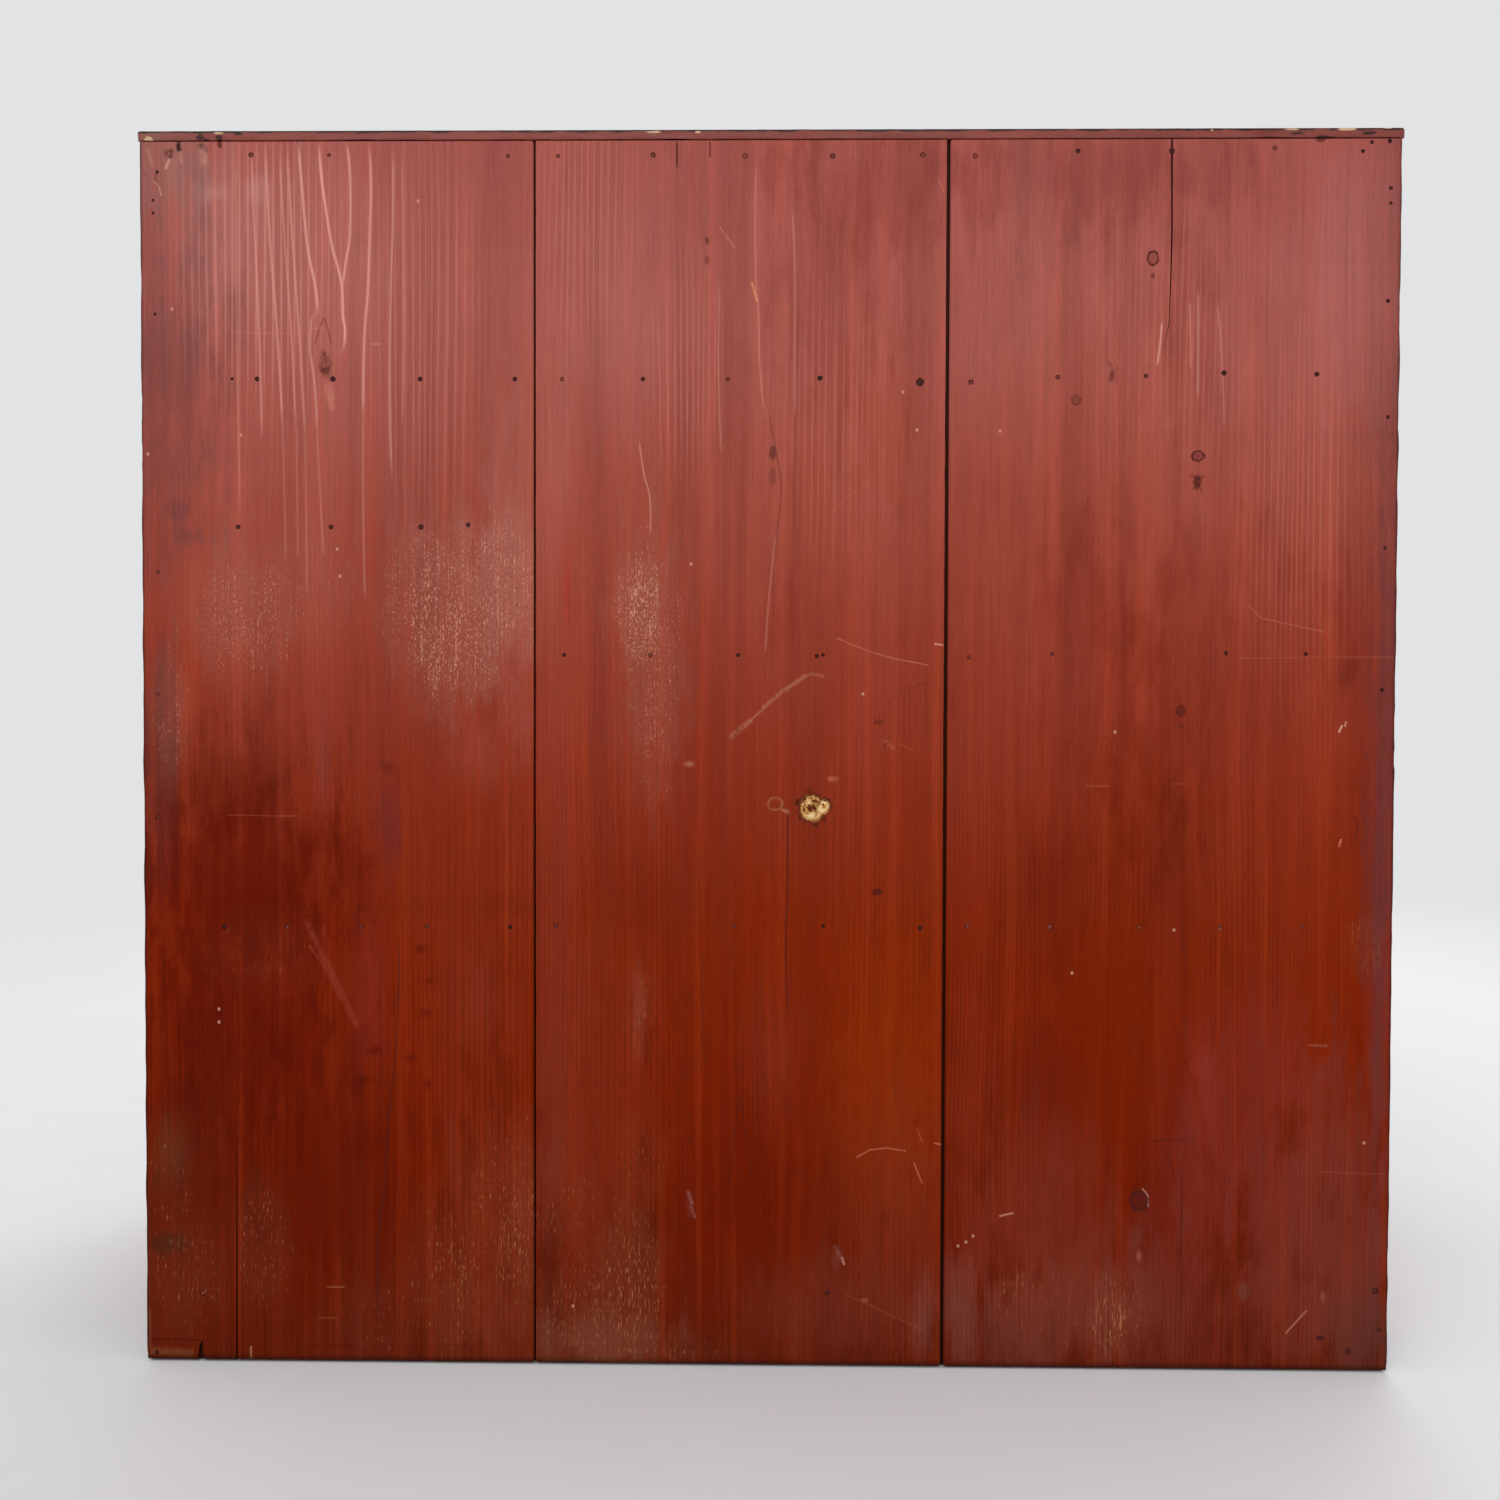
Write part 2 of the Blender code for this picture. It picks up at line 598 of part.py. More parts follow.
def drawers():
    large = LARGE_EYE_SPACING, LARGE_BAIL_DROP, LARGE_PLATE_RADIUS, LARGE_PLATE_WAIST
    small = SMALL_EYE_SPACING, SMALL_BAIL_DROP, SMALL_PLATE_RADIUS, SMALL_PLATE_WAIST
    openings = (
        ("top_drawer", -INNER_X, INNER_X, UPPER_SHELF_TOP, TOP_UNDERSIDE, TOP_HANDLE_INSET),
        ("upper_drawer", -INNER_X, DIVIDER_LEFT, LEFT_SHELF_TOP, UPPER_SHELF_UNDERSIDE, WIDE_HANDLE_INSET),
        ("lower_drawer", -INNER_X, DIVIDER_LEFT, LOWER_SHELF_TOP, LEFT_SHELF_UNDERSIDE, WIDE_HANDLE_INSET),
    )
    for name, left, right, floor, ceiling, inset in openings:
        carrier = drawer(name, left, right, floor, ceiling)
        axis_z = (floor + ceiling) / 2 + HANDLE_RISE
        handle(f"{name}_left_handle", left + inset, axis_z, *large, carrier)
        handle(f"{name}_right_handle", right - inset, axis_z, *large, carrier)
    carrier = drawer("small_drawer", DIVIDER_RIGHT, INNER_X, RIGHT_SHELF_TOP, UPPER_SHELF_UNDERSIDE)
    middle_x = (DIVIDER_RIGHT + INNER_X) / 2
    axis_z = (RIGHT_SHELF_TOP + UPPER_SHELF_UNDERSIDE) / 2 + HANDLE_RISE
    handle("small_drawer_handle", middle_x, axis_z, *small, carrier)


def safe_door():
    """A panel between two end cleats, hung at its right on two iron hinges, with a ring to pull."""
    left, right = DIVIDER_RIGHT + DOOR_GAP, INNER_X - DOOR_GAP
    low, high = LOWER_SHELF_TOP + DOOR_GAP, RIGHT_SHELF_UNDERSIDE - DOOR_GAP
    rear = FRONT_Y + DOOR_THICKNESS
    middle_y = FRONT_Y + DOOR_THICKNESS / 2
    tongue = CLEAT_TONGUE_THICKNESS / 2
    axis_x = INNER_X - DOOR_GAP / 2
    axis_y = FRONT_Y - 2 * FIT - HINGE_KNUCKLE_RADIUS
    carrier = carrier_at("safe_door", (axis_x, axis_y, (low + high) / 2))
    panel_low, panel_high = low + CLEAT_HEIGHT + FIT, high - CLEAT_HEIGHT - FIT
    panel = board(
        "safe_door_panel", (left, FRONT_Y, panel_low), (right, rear, panel_high), LACQUERED_FRONT, carrier
    )
    for end, edge, outward, cleat_low, cleat_high in (
        ("upper", panel_high, 1, high - CLEAT_HEIGHT, high),
        ("lower", panel_low, -1, low, low + CLEAT_HEIGHT),
    ):
        cleat = board(
            f"safe_door_cleat_{end}", (left, FRONT_Y, cleat_low), (right, rear, cleat_high), LACQUERED_FRONT, carrier
        )
        tip = sorted((edge - outward * OVERCUT, edge + outward * CLEAT_TONGUE_DEPTH))
        groove = sorted((edge - outward * OVERCUT, edge + outward * (CLEAT_TONGUE_DEPTH + FIT)))
        add_box(
            panel,
            f"door_tongue_{end}",
            (left + BOARD_ARRIS, middle_y - tongue, tip[0]),
            (right - BOARD_ARRIS, middle_y + tongue, tip[1]),
        )
        cut_box(
            cleat,
            f"cleat_groove_{end}",
            (left - OVERCUT, middle_y - tongue - FIT, groove[0]),
            (right + OVERCUT, middle_y + tongue + FIT, groove[1]),
        )
    for level, height in (("upper", high - HINGE_INSET), ("lower", low + HINGE_INSET)):
        hinge(level, axis_x, axis_y, height, carrier)
    door_ring(left + RING_DOOR_INSET, (low + high) / 2, carrier)


def hinge(level, axis_x, axis_y, height, door):
    """A butt hinge: the case leaf has the outer knuckles and the pin, the door leaf the middle one."""
    low, high = height - HINGE_LENGTH / 2, height + HINGE_LENGTH / 2
    knuckle_low, knuckle_high = height - HINGE_LENGTH / 6, height + HINGE_LENGTH / 6
    face, rear = FRONT_Y - FIT - HINGE_LEAF_THICKNESS, FRONT_Y - FIT
    relief = HINGE_KNUCKLE_RADIUS + HINGE_RELIEF
    before, behind = axis_y - relief, rear + OVERCUT
    case_leaf = dress(
        box_shape(
            f"hinge_{level}_case_leaf", (axis_x, face, low), (axis_x + HINGE_CASE_LEAF_WIDTH, rear, high), None
        ),
        BLACK_IRON,
    )
    add_round(
        case_leaf, f"case_barrel_{level}", (axis_x, axis_y, low), (axis_x, axis_y, high), HINGE_KNUCKLE_RADIUS
    )
    cut_box(
        case_leaf,
        f"case_relief_{level}",
        (axis_x - relief, before, knuckle_low - FIT),
        (axis_x + relief, behind, knuckle_high + FIT),
    )
    add_round(
        case_leaf,
        f"pin_{level}",
        (axis_x, axis_y, low + HINGE_PIN_RADIUS),
        (axis_x, axis_y, high - HINGE_PIN_RADIUS),
        HINGE_PIN_RADIUS,
    )
    door_leaf = dress(
        box_shape(
            f"hinge_{level}_door_leaf", (axis_x - HINGE_DOOR_LEAF_WIDTH, face, low), (axis_x, rear, high), door
        ),
        BLACK_IRON,
    )
    for end, near, far in (("low", low - OVERCUT, knuckle_low), ("high", knuckle_high, high + OVERCUT)):
        cut_box(
            door_leaf,
            f"door_relief_{level}_{end}",
            (axis_x - relief, before, near),
            (axis_x + relief, behind, far),
        )
    add_round(
        door_leaf,
        f"door_knuckle_{level}",
        (axis_x, axis_y, knuckle_low + FIT),
        (axis_x, axis_y, knuckle_high - FIT),
        HINGE_KNUCKLE_RADIUS,
    )
    cut_round(
        door_leaf,
        f"door_bore_{level}",
        (axis_x, axis_y, low),
        (axis_x, axis_y, high),
        HINGE_PIN_RADIUS + HINGE_PIN_CLEARANCE,
    )


def door_ring(x, z, door):
    face_y = FRONT_Y - FIT - PLATE_THICKNESS
    axis = Vector((x, face_y - EYE_STANDOFF, z))
    plate = dress(
        round_shape("safe_door_ring_plate", (x, face_y, z), (x, FRONT_Y - FIT, z), RING_PLATE_RADIUS, door),
        BLACK_IRON,
    )
    add_eye(plate, "door_ring_eye", x, z, face_y, RING_WIRE_RADIUS + RING_CLEARANCE)
    carrier = carrier_at("door_ring_axis", axis, door)
    bpy.ops.mesh.primitive_torus_add(
        major_radius=RING_RADIUS,
        minor_radius=RING_WIRE_RADIUS,
        major_segments=28,
        minor_segments=8,
        rotation=(math.pi / 2, 0, 0),
    )
    ring = bpy.context.active_object
    ring.name = "safe_door_ring"
    for holder in list(ring.users_collection):
        holder.objects.unlink(ring)
    ring.data.shade_smooth()
    place(ring, axis - Vector((0, 0, RING_RADIUS)), carrier)
    dress(ring, BLACK_IRON)


def track_middle(track):
    """Y of the middle of a sliding door's track."""
    front = FRONT_Y + SLIDER_SETBACK + SLIDER_THICKNESS / 2
    return front if track == "front" else front + SLIDER_THICKNESS + SLIDER_TRACK_GAP


def sliding_doors():
    width = (2 * INNER_X + SLIDER_OVERLAP) / 2 - SLIDER_END_CLEARANCE
    low, high = BOTTOM_TOP + SLIDER_FACE_CLEARANCE, LOWER_SHELF_UNDERSIDE - SLIDER_FACE_CLEARANCE
    tongue_low = BOTTOM_TOP - LOWER_GROOVE_DEPTH + FIT
    tongue_high = LOWER_SHELF_UNDERSIDE + UPPER_TONGUE
    half, thin = SLIDER_THICKNESS / 2, TONGUE_THICKNESS / 2
    outer = INNER_X - SLIDER_END_CLEARANCE
    for side, sign, track in (("left", -1, "rear"), ("right", 1, "front")):
        middle = track_middle(track)
        near, far = sorted((sign * outer, sign * (outer - width)))
        made = board(
            f"sliding_door_{side}", (near, middle - half, low), (far, middle + half, high), LACQUERED_FRONT
        )
        add_box(
            made,
            f"tongue_{side}",
            (near + BOARD_ARRIS, middle - thin, tongue_low),
            (far - BOARD_ARRIS, middle + thin, tongue_high),
        )
        depth = PULL_DEPTH + OVERCUT
        middle_of_pull = (
            sign * (outer - PULL_INSET), middle - half + PULL_DEPTH - depth / 2, (low + high) / 2
        )
        outline = upright_slot(PULL_LENGTH, PULL_WIDTH)
        shape_with(made, "DIFFERENCE", outline_shape(f"pull_{side}", outline, depth, middle_of_pull, None))


top_board()
side_board("left", -1)
side_board("right", 1)
shelves_and_divider()
back_boards()
drawers()
safe_door()
sliding_doors()
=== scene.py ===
import json
import math
import random

import bmesh
import bpy
from mathutils import Matrix, Vector, noise

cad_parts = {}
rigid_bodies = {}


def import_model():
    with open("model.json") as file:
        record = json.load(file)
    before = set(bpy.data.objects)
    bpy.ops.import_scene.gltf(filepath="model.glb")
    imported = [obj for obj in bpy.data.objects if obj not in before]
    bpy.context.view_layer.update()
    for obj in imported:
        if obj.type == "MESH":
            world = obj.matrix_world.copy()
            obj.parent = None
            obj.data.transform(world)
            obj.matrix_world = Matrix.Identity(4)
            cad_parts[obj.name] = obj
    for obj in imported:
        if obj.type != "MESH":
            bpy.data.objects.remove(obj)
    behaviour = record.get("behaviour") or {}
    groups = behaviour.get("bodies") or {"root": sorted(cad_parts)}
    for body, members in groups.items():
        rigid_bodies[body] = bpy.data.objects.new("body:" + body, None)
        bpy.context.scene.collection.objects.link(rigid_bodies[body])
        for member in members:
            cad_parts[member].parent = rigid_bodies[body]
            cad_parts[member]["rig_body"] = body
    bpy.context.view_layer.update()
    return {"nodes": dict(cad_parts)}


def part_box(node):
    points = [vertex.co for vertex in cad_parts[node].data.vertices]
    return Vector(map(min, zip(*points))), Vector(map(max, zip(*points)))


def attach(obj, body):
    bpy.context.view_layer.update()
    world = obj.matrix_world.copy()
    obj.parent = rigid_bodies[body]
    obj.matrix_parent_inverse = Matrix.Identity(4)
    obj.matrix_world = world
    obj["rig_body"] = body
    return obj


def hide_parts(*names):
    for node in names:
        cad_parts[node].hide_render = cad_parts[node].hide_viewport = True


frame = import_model()
nodes = frame["nodes"]
mm = 0.001

# The camera stands behind the chest, a little above its middle, and looks almost square at the back boards.
shot = {
    "place": Vector((-0.0053, 1.3051, 0.4754)),
    "pitch": -0.0228,
    "yaw": 0.0150,
    "roll": 0.0030,
    "side": 1500.0,
    "focal": 1500.0,
    "lens": 36.0,
}


def shotAxes():
    yaw, pitch, roll = shot["yaw"], shot["pitch"], shot["roll"]
    ahead = Vector((math.sin(yaw) * math.cos(pitch), -math.cos(yaw) * math.cos(pitch), math.sin(pitch)))
    level = Vector((-math.cos(yaw), -math.sin(yaw), 0.0))
    upward = level.cross(ahead)
    right = level * math.cos(roll) + upward * math.sin(roll)
    up = upward * math.cos(roll) - level * math.sin(roll)
    return right, up, ahead


shotRight, shotUp, shotAhead = shotAxes()
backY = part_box("back_board_middle")[1].y
pixel = (shot["place"].y - backY) / shot["focal"]


def onBack(px, py):
    half = shot["side"] / 2
    ray = shotAhead + shotRight * ((px - half) / shot["focal"]) + shotUp * ((half - py) / shot["focal"])
    spot = shot["place"] + ray * ((backY - shot["place"].y) / ray.y)
    return spot.x, spot.z


def setCamera():
    camera = bpy.data.objects.new("camera", bpy.data.cameras.new("camera"))
    bpy.context.collection.objects.link(camera)
    camera.data.sensor_width = shot["lens"] * shot["side"] / shot["focal"]
    camera.data.lens = shot["lens"]
    turn = Matrix((shotRight, shotUp, -shotAhead)).transposed().to_4x4()
    camera.matrix_world = Matrix.Translation(shot["place"]) @ turn
    bpy.context.scene.camera = camera


setCamera()
bpy.context.scene.view_settings.view_transform = "Standard"
print("camera set")


def tone(red, green, blue):
    def straight(level):
        share = level / 255
        return share / 12.92 if share <= 0.04045 else ((share + 0.055) / 1.055) ** 2.4

    return straight(red), straight(green), straight(blue), 1.0


class Socket:
    def __init__(self, tree, outlet):
        self.tree = tree
        self.outlet = outlet

    def make(self, kind, settings, inputs, result=0):
        fresh = self.tree.nodes.new(kind)
        for name, value in settings.items():
            setattr(fresh, name, value)
        for name, value in inputs.items():
            if isinstance(value, Socket):
                self.tree.links.new(value.outlet, fresh.inputs[name])
            else:
                fresh.inputs[name].default_value = value
        return Socket(self.tree, fresh.outputs[result]) if fresh.outputs else None

    def maths(self, operation, *values):
        return self.make("ShaderNodeMath", {"operation": operation}, dict(enumerate(values)))

    def __add__(self, other):
        return self.maths("ADD", self, other)

    def __sub__(self, other):
        return self.maths("SUBTRACT", self, other)

    def __rsub__(self, other):
        return self.maths("SUBTRACT", other, self)

    def __mul__(self, other):
        return self.maths("MULTIPLY", self, other)

    def __truediv__(self, other):
        return self.maths("DIVIDE", self, other)

    def __rtruediv__(self, other):
        return self.maths("DIVIDE", other, self)

    def __abs__(self):
        return self.maths("ABSOLUTE", self)

    __radd__ = __add__
    __rmul__ = __mul__


def newLook(name):
    look = bpy.data.materials.new(name)
    look.use_nodes = True
    look.node_tree.nodes.clear()
    start = look.node_tree.nodes.new("ShaderNodeTexCoord")
    return look, Socket(look.node_tree, start.outputs["Object"])


def part(place, axis):
    return place.make("ShaderNodeSeparateXYZ", {}, {0: place}, axis)


def join(x, y, z):
    return x.make("ShaderNodeCombineXYZ", {}, {0: x, 1: y, 2: z})


def vectors(place, operation, inputs, result=0):
    return place.make("ShaderNodeVectorMath", {"operation": operation}, dict(enumerate(inputs)), result)


def stretch(place, sizes, shift=0.0):
    return vectors(place, "MULTIPLY_ADD", (place, sizes, (shift, shift * 0.7, shift * 1.3)))


def cloud(place, detail=2.0, roughness=0.5):
    return place.make(
        "ShaderNodeTexNoise", {}, {"Vector": place, "Scale": 1.0, "Detail": detail, "Roughness": roughness}
    )


def spread(value, low, high, start=0.0, end=1.0):
    inputs = dict(enumerate((value, low, high, start, end)))
    return value.make("ShaderNodeMapRange", {"interpolation_type": "SMOOTHSTEP"}, inputs)


def tint(share, below, above):
    return share.make("ShaderNodeMix", {"data_type": "RGBA"}, {0: share, 6: below, 7: above}, 2)


def scaled(value, factor):
    maker = value if isinstance(value, Socket) else factor
    return maker.make("ShaderNodeVectorMath", {"operation": "SCALE"}, {0: value, 3: factor})


def ramp(value, stops):
    made = value.make("ShaderNodeValToRGB", {}, {0: value})
    marks = made.outlet.node.color_ramp.elements
    while len(marks) < len(stops):
        marks.new(1.0)
    for mark, (at, colour) in zip(marks, stops):
        mark.position = at
        mark.color = colour
    return made


def ovalAt(place, at, size):
    scale = (1 / size[0], 0.0, 1 / size[1])
    inside = vectors(place, "MULTIPLY_ADD", (place, scale, (-at[0] * scale[0], 0.0, -at[1] * scale[2])))
    return vectors(place, "LENGTH", (inside,), 1)


def oval(place, px, py, wide, tall):
    return ovalAt(place, onBack(px, py), (wide * pixel, tall * pixel))


def stroke(place, start, end):
    run = Vector((end[0] - start[0], 0.0, end[1] - start[1]))
    offset = vectors(place, "MULTIPLY_ADD", (place, (1.0, 0.0, 1.0), (-start[0], 0.0, -start[1])))
    share = vectors(place, "DOT_PRODUCT", (offset, run / run.length_squared), 1)
    share = share.make("ShaderNodeClamp", {}, {0: share, 1: 0.0, 2: 1.0})
    return vectors(place, "DISTANCE", (offset, scaled(run, share)), 1)


def alongGrain(x, z, path):
    spots = sorted((onBack(*spot) for spot in path), key=lambda spot: spot[1])
    low, high = spots[0][1], spots[-1][1]
    left = min(spot[0] for spot in spots) - mm
    wide = max(spot[0] for spot in spots) + mm - left
    share = z.maths("MULTIPLY_ADD", z, 1 / (high - low), -low / (high - low))
    curve = share.make("ShaderNodeFloatCurve", {}, {0: 1.0, 1: share})
    mapping = curve.outlet.node.mapping
    points = mapping.curves[0].points
    places = [((spot[1] - low) / (high - low), (spot[0] - left) / wide) for spot in spots]
    points[0].location, points[1].location = places[0], places[-1]
    for spot in places[1:-1]:
        points.new(*spot)
    mapping.update()
    ends = spread(abs(share - 0.5), 0.52, 0.40)
    return abs(x - curve.maths("MULTIPLY_ADD", curve, wide, left)), ends


def surface(look, place, settings, height, depth):
    normal = place.make("ShaderNodeBump", {}, {"Strength": 1.0, "Distance": depth, "Height": height})
    shader = place.make("ShaderNodeBsdfPrincipled", {}, {**settings, "Normal": normal})
    place.make("ShaderNodeOutputMaterial", {}, {0: shader})
    return look


# Three wide boards close the back. Everything that marks them is placed by its pixel in the photograph.
# An oval mark is its middle, half width, half height and strength, then a knot's ring or a blot's colour.
# A line, crack or stroke is its path, width and strength, then a stroke's colour.
stain = {
    # stain by height: paler towards the top, partly faded and partly a painted sheen of reflected light
    "stainAndSheen": (
        (0.00, tone(101, 29, 8)),
        (0.10, tone(112, 26, 1)),
        (0.24, tone(125, 31, 1)),
        (0.36, tone(130, 37, 7)),
        (0.47, tone(138, 47, 25)),
        (0.58, tone(147, 59, 42)),
        (0.70, tone(157, 74, 59)),
        (0.84, tone(166, 88, 77)),
        (1.00, tone(161, 84, 76)),
    ),
    "top": 0.9,
    "pale": tone(206, 150, 128),
    "line": tone(224, 156, 141),
    "ink": tone(70, 28, 26),
    "grime": tone(70, 26, 10),
    "ochre": tone(178, 118, 82),
    # bare wood in the chip, from dark spots to tan, its palest stop a painted highlight on the lumps
    "gold": (
        (0.36, tone(84, 34, 18)),
        (0.44, tone(160, 92, 46)),
        (0.52, tone(214, 160, 92)),
        (0.64, tone(248, 220, 166)),
    ),
    "orange": tone(186, 74, 34),
    "plum": tone(126, 60, 54),
    # painted shade on the outer arrises, a painted contact shadow at the foot, painted shade on edges and
    # inner faces
    "rim": tone(40, 18, 16),
    "foot": tone(44, 18, 12),
    "shadedFlank": tone(46, 22, 16),
    "cloudy": 40,  # px, blots larger than this get a cloudy rim
    "rough": 0.46,
    "specular": 0.012,
    "coat": 0.02,
}

rightBack = {
    "seed": 3.1,
    "pitch": 5.4,
    "stripes": [
        (262, 260, 120, 200, 0.8), (430, 330, 80, 260, 0.45),
    ],
    "lines": [
        ([(235, 150), (236, 250), (238, 400), (240, 520)], 2, 0.25),
        ([(251, 145), (254, 220), (259, 330), (262, 440)], 2.4, 0.45),
        ([(265, 145), (270, 240), (277, 330), (283, 430)], 2.6, 0.5),
        ([(283, 420), (284, 480), (286, 560)], 2.4, 0.16),
        ([(279, 150), (284, 230), (291, 330), (296, 430)], 2.2, 0.4),
        ([(296, 420), (297, 480), (298, 560)], 2.2, 0.16),
        ([(287, 145), (290, 200), (296, 290), (301, 360), (305, 440)], 2.6, 0.45),
        ([(305, 430), (306, 500), (307, 600)], 2.4, 0.16),
        ([(298, 143), (301, 176), (307, 243), (317, 300), (318, 316)], 2.8, 0.8),
        ([(317, 312), (310, 345), (312, 364), (315, 389), (317, 429)], 2.4, 0.45),
        ([(317, 420), (319, 471), (324, 558)], 2.4, 0.2),
        ([(319, 143), (321, 173), (326, 210), (332, 246), (339, 272), (342, 288), (343, 316), (345, 333),
          (340, 353)], 2.8, 0.85),
        ([(346, 143), (350, 176), (350, 232), (346, 260), (342, 290)], 2.6, 0.7),
        ([(368, 143), (371, 185), (370, 227), (368, 288), (364, 345), (363, 420)], 2.8, 0.65),
        ([(363, 410), (363, 485), (365, 600)], 2.2, 0.24),
        ([(393, 145), (393, 204), (391, 277), (390, 345), (390, 401), (392, 480)], 2.4, 0.5),
        ([(402, 150), (403, 250), (403, 350), (402, 430)], 1.8, 0.3),
    ],
    "cracks": [
        ([(399, 930), (397, 1032), (390, 1104), (385, 1183), (378, 1246), (378, 1320)], 2, 0.55),
        ([(366, 1110), (360, 1178), (349, 1216), (345, 1275)], 1.8, 0.35),
        ([(315, 344), (319, 330), (324, 317)], 1.6, 0.5),
        ([(331, 344), (328, 330), (324, 317)], 1.6, 0.5),
    ],
    "scuffs": [
        (500, 580, 42, 62, 0.78), (452, 620, 54, 84, 0.84), (420, 600, 50, 60, 0.55),
        (245, 612, 60, 60, 0.62), (300, 590, 50, 60, 0.35), (172, 710, 20, 60, 0.5),
        (260, 1248, 28, 66, 0.58), (446, 1280, 46, 85, 0.6), (496, 1195, 50, 80, 0.5),
        (188, 1272, 40, 56, 0.5), (262, 955, 50, 36, 0.28), (522, 1240, 40, 70, 0.72),
        (390, 1320, 60, 40, 0.35), (170, 1180, 26, 60, 0.34),
    ],
    "knots": [
        (325, 365, 8, 15, 0.38, 0), (324, 354, 2, 2.6, 0.6, 0), (326, 370, 6, 4, 0.45, 0),
    ],
    "blots": [
        (215, 245, 84, 120, 0.46, (172, 118, 113)), (212, 192, 24, 13, 0.42, (196, 140, 136)),
        (258, 190, 15, 15, 0.42, (196, 138, 134)), (330, 300, 230, 260, 0.3, (174, 98, 88)),
        (215, 1085, 80, 150, 0.6, (84, 16, 3)), (330, 250, 70, 130, 0.3, (182, 112, 100)),
        (176, 512, 17, 13, 0.6, (112, 62, 62)), (190, 536, 18, 12, 0.5, (118, 66, 64)),
        (168, 360, 62, 220, 0.62, (116, 64, 62)), (168, 168, 58, 54, 0.55, (148, 104, 96)),
        (220, 780, 110, 80, 0.5, (96, 26, 10)), (190, 1200, 60, 150, 0.5, (86, 24, 6)),
        (158, 780, 22, 150, 0.6, (104, 46, 42)), (245, 876, 120, 90, 0.62, (95, 20, 6)),
        (512, 570, 46, 170, 0.3, (182, 112, 100)), (232, 365, 28, 100, 0.3, (138, 64, 54)),
        (479, 745, 32, 50, 0.26, (166, 84, 70)), (479, 993, 32, 56, 0.28, (148, 62, 42)),
        (429, 1117, 28, 40, 0.28, (106, 26, 6)), (528, 1210, 24, 90, 0.3, (150, 66, 44)),
        (245, 1010, 120, 130, 0.7, (95, 17, 3)), (320, 1180, 110, 150, 0.62, (92, 17, 1)),
        (392, 830, 16, 60, 0.55, (112, 42, 40)), (388, 768, 9, 9, 0.6, (100, 30, 22)),
        (322, 760, 8, 70, 0.4, (128, 60, 56)), (168, 1148, 22, 38, 0.52, (98, 50, 24)),
        (168, 1243, 24, 13, 0.6, (58, 30, 16)), (470, 1000, 60, 170, 0.4, (136, 46, 24)),
        (488, 1190, 56, 200, 0.42, (134, 46, 20)), (372, 990, 22, 100, 0.28, (140, 48, 38)),
        (422, 949, 8, 6, 0.6, (92, 18, 8)), (429, 981, 7, 5, 0.6, (90, 18, 8)),
        (426, 1013, 7, 7, 0.6, (90, 18, 8)), (409, 1058, 9, 6, 0.6, (88, 18, 8)),
        (374, 1050, 7, 6, 0.55, (88, 16, 6)), (364, 1081, 14, 7, 0.55, (84, 16, 6)),
        (428, 1084, 6, 7, 0.55, (86, 18, 8)), (240, 890, 150, 110, 0.45, (96, 14, 0)),
        (490, 1320, 60, 60, 0.26, (132, 58, 36)),
    ],
    "strokes": [
        ([(320, 353), (323, 350), (326, 353)], 2, 0.5, (92, 42, 40)),
        ([(325, 356), (326, 363)], 2.6, 0.45, (92, 40, 38)),
        ([(319, 366), (324, 369), (330, 367)], 3, 0.4, (92, 52, 46)),
        ([(322, 371), (327, 374), (331, 379)], 4.6, 0.42, (92, 50, 46)),
        ([(328, 388), (331, 398)], 9, 0.8, (190, 114, 100)),
        ([(331, 398), (332, 408)], 6, 0.8, (190, 114, 100)),
        # dark holes near the top edge, their darkness painted shade
        ([(171, 151), (170, 156)], 5.5, 0.8, (52, 22, 20)),
        ([(166, 151), (166, 154)], 4, 0.6, (60, 28, 26)),
        ([(178, 143), (179, 150)], 5, 0.95, (34, 16, 16)),
        ([(201, 146), (205, 150)], 6, 0.75, (52, 24, 22)),
        ([(219, 142), (220, 146)], 4.5, 0.8, (44, 20, 18)),
        ([(203, 151), (204, 161)], 8, 0.45, (196, 140, 128)),
        ([(169, 160), (166, 168)], 3, 0.6, (212, 160, 148)),
        ([(180, 152), (182, 164)], 3, 0.4, (198, 142, 130)),
        ([(156, 175), (155, 180), (158, 186)], 2.6, 0.6, (72, 36, 32)),
        ([(154, 181), (159, 187), (161, 195)], 1.8, 0.55, (206, 150, 138)),
        ([(143, 173), (149, 176)], 1.8, 0.4, (72, 40, 36)),
        ([(148, 150), (152, 164)], 4, 0.35, (186, 140, 124)),
        ([(153, 1351), (190, 1353)], 9, 0.34, (150, 92, 54)),
        ([(150, 1310), (150, 1346)], 2.4, 0.34, (150, 96, 62)),
        ([(307, 922), (322, 955), (338, 984), (356, 1025)], 6, 0.36, (152, 66, 50)),
        ([(310, 946), (324, 966), (340, 998)], 3, 0.32, (150, 66, 48)),
        ([(324, 928), (329, 962), (334, 986)], 5, 0.22, (144, 54, 38)),
        ([(228, 815), (280, 816)], 1.2, 0.26, (172, 98, 72)),
        ([(281, 816), (297, 816)], 1.2, 0.5, (172, 98, 72)),
        ([(231, 332), (296, 334)], 1.2, 0.35, (196, 128, 112)),
        ([(310, 329), (321, 328)], 1.4, 0.55, (200, 130, 112)),
        ([(371, 344), (380, 344)], 1.4, 0.6, (206, 140, 120)),
        ([(327, 1287), (344, 1287)], 1.4, 0.6, (178, 112, 62)),
        ([(319, 1318), (338, 1318)], 1.2, 0.45, (160, 90, 50)),
        # painted shadow lines along the bottom edge
        ([(151, 1339), (198, 1340)], 1.8, 0.6, (56, 14, 6)),
        ([(305, 1345), (358, 1345)], 1.2, 0.45, (56, 14, 6)),
        ([(437, 1346), (465, 1346)], 1.2, 0.45, (56, 14, 6)),
        ([(251, 1347), (251, 1358)], 2.4, 0.7, (178, 120, 82)),
    ],
    "dots": [
        (418, 201), (172, 309), (241, 435), (337, 549), (340, 576), (219, 1009), (219, 1022), (148, 454),
    ],
}

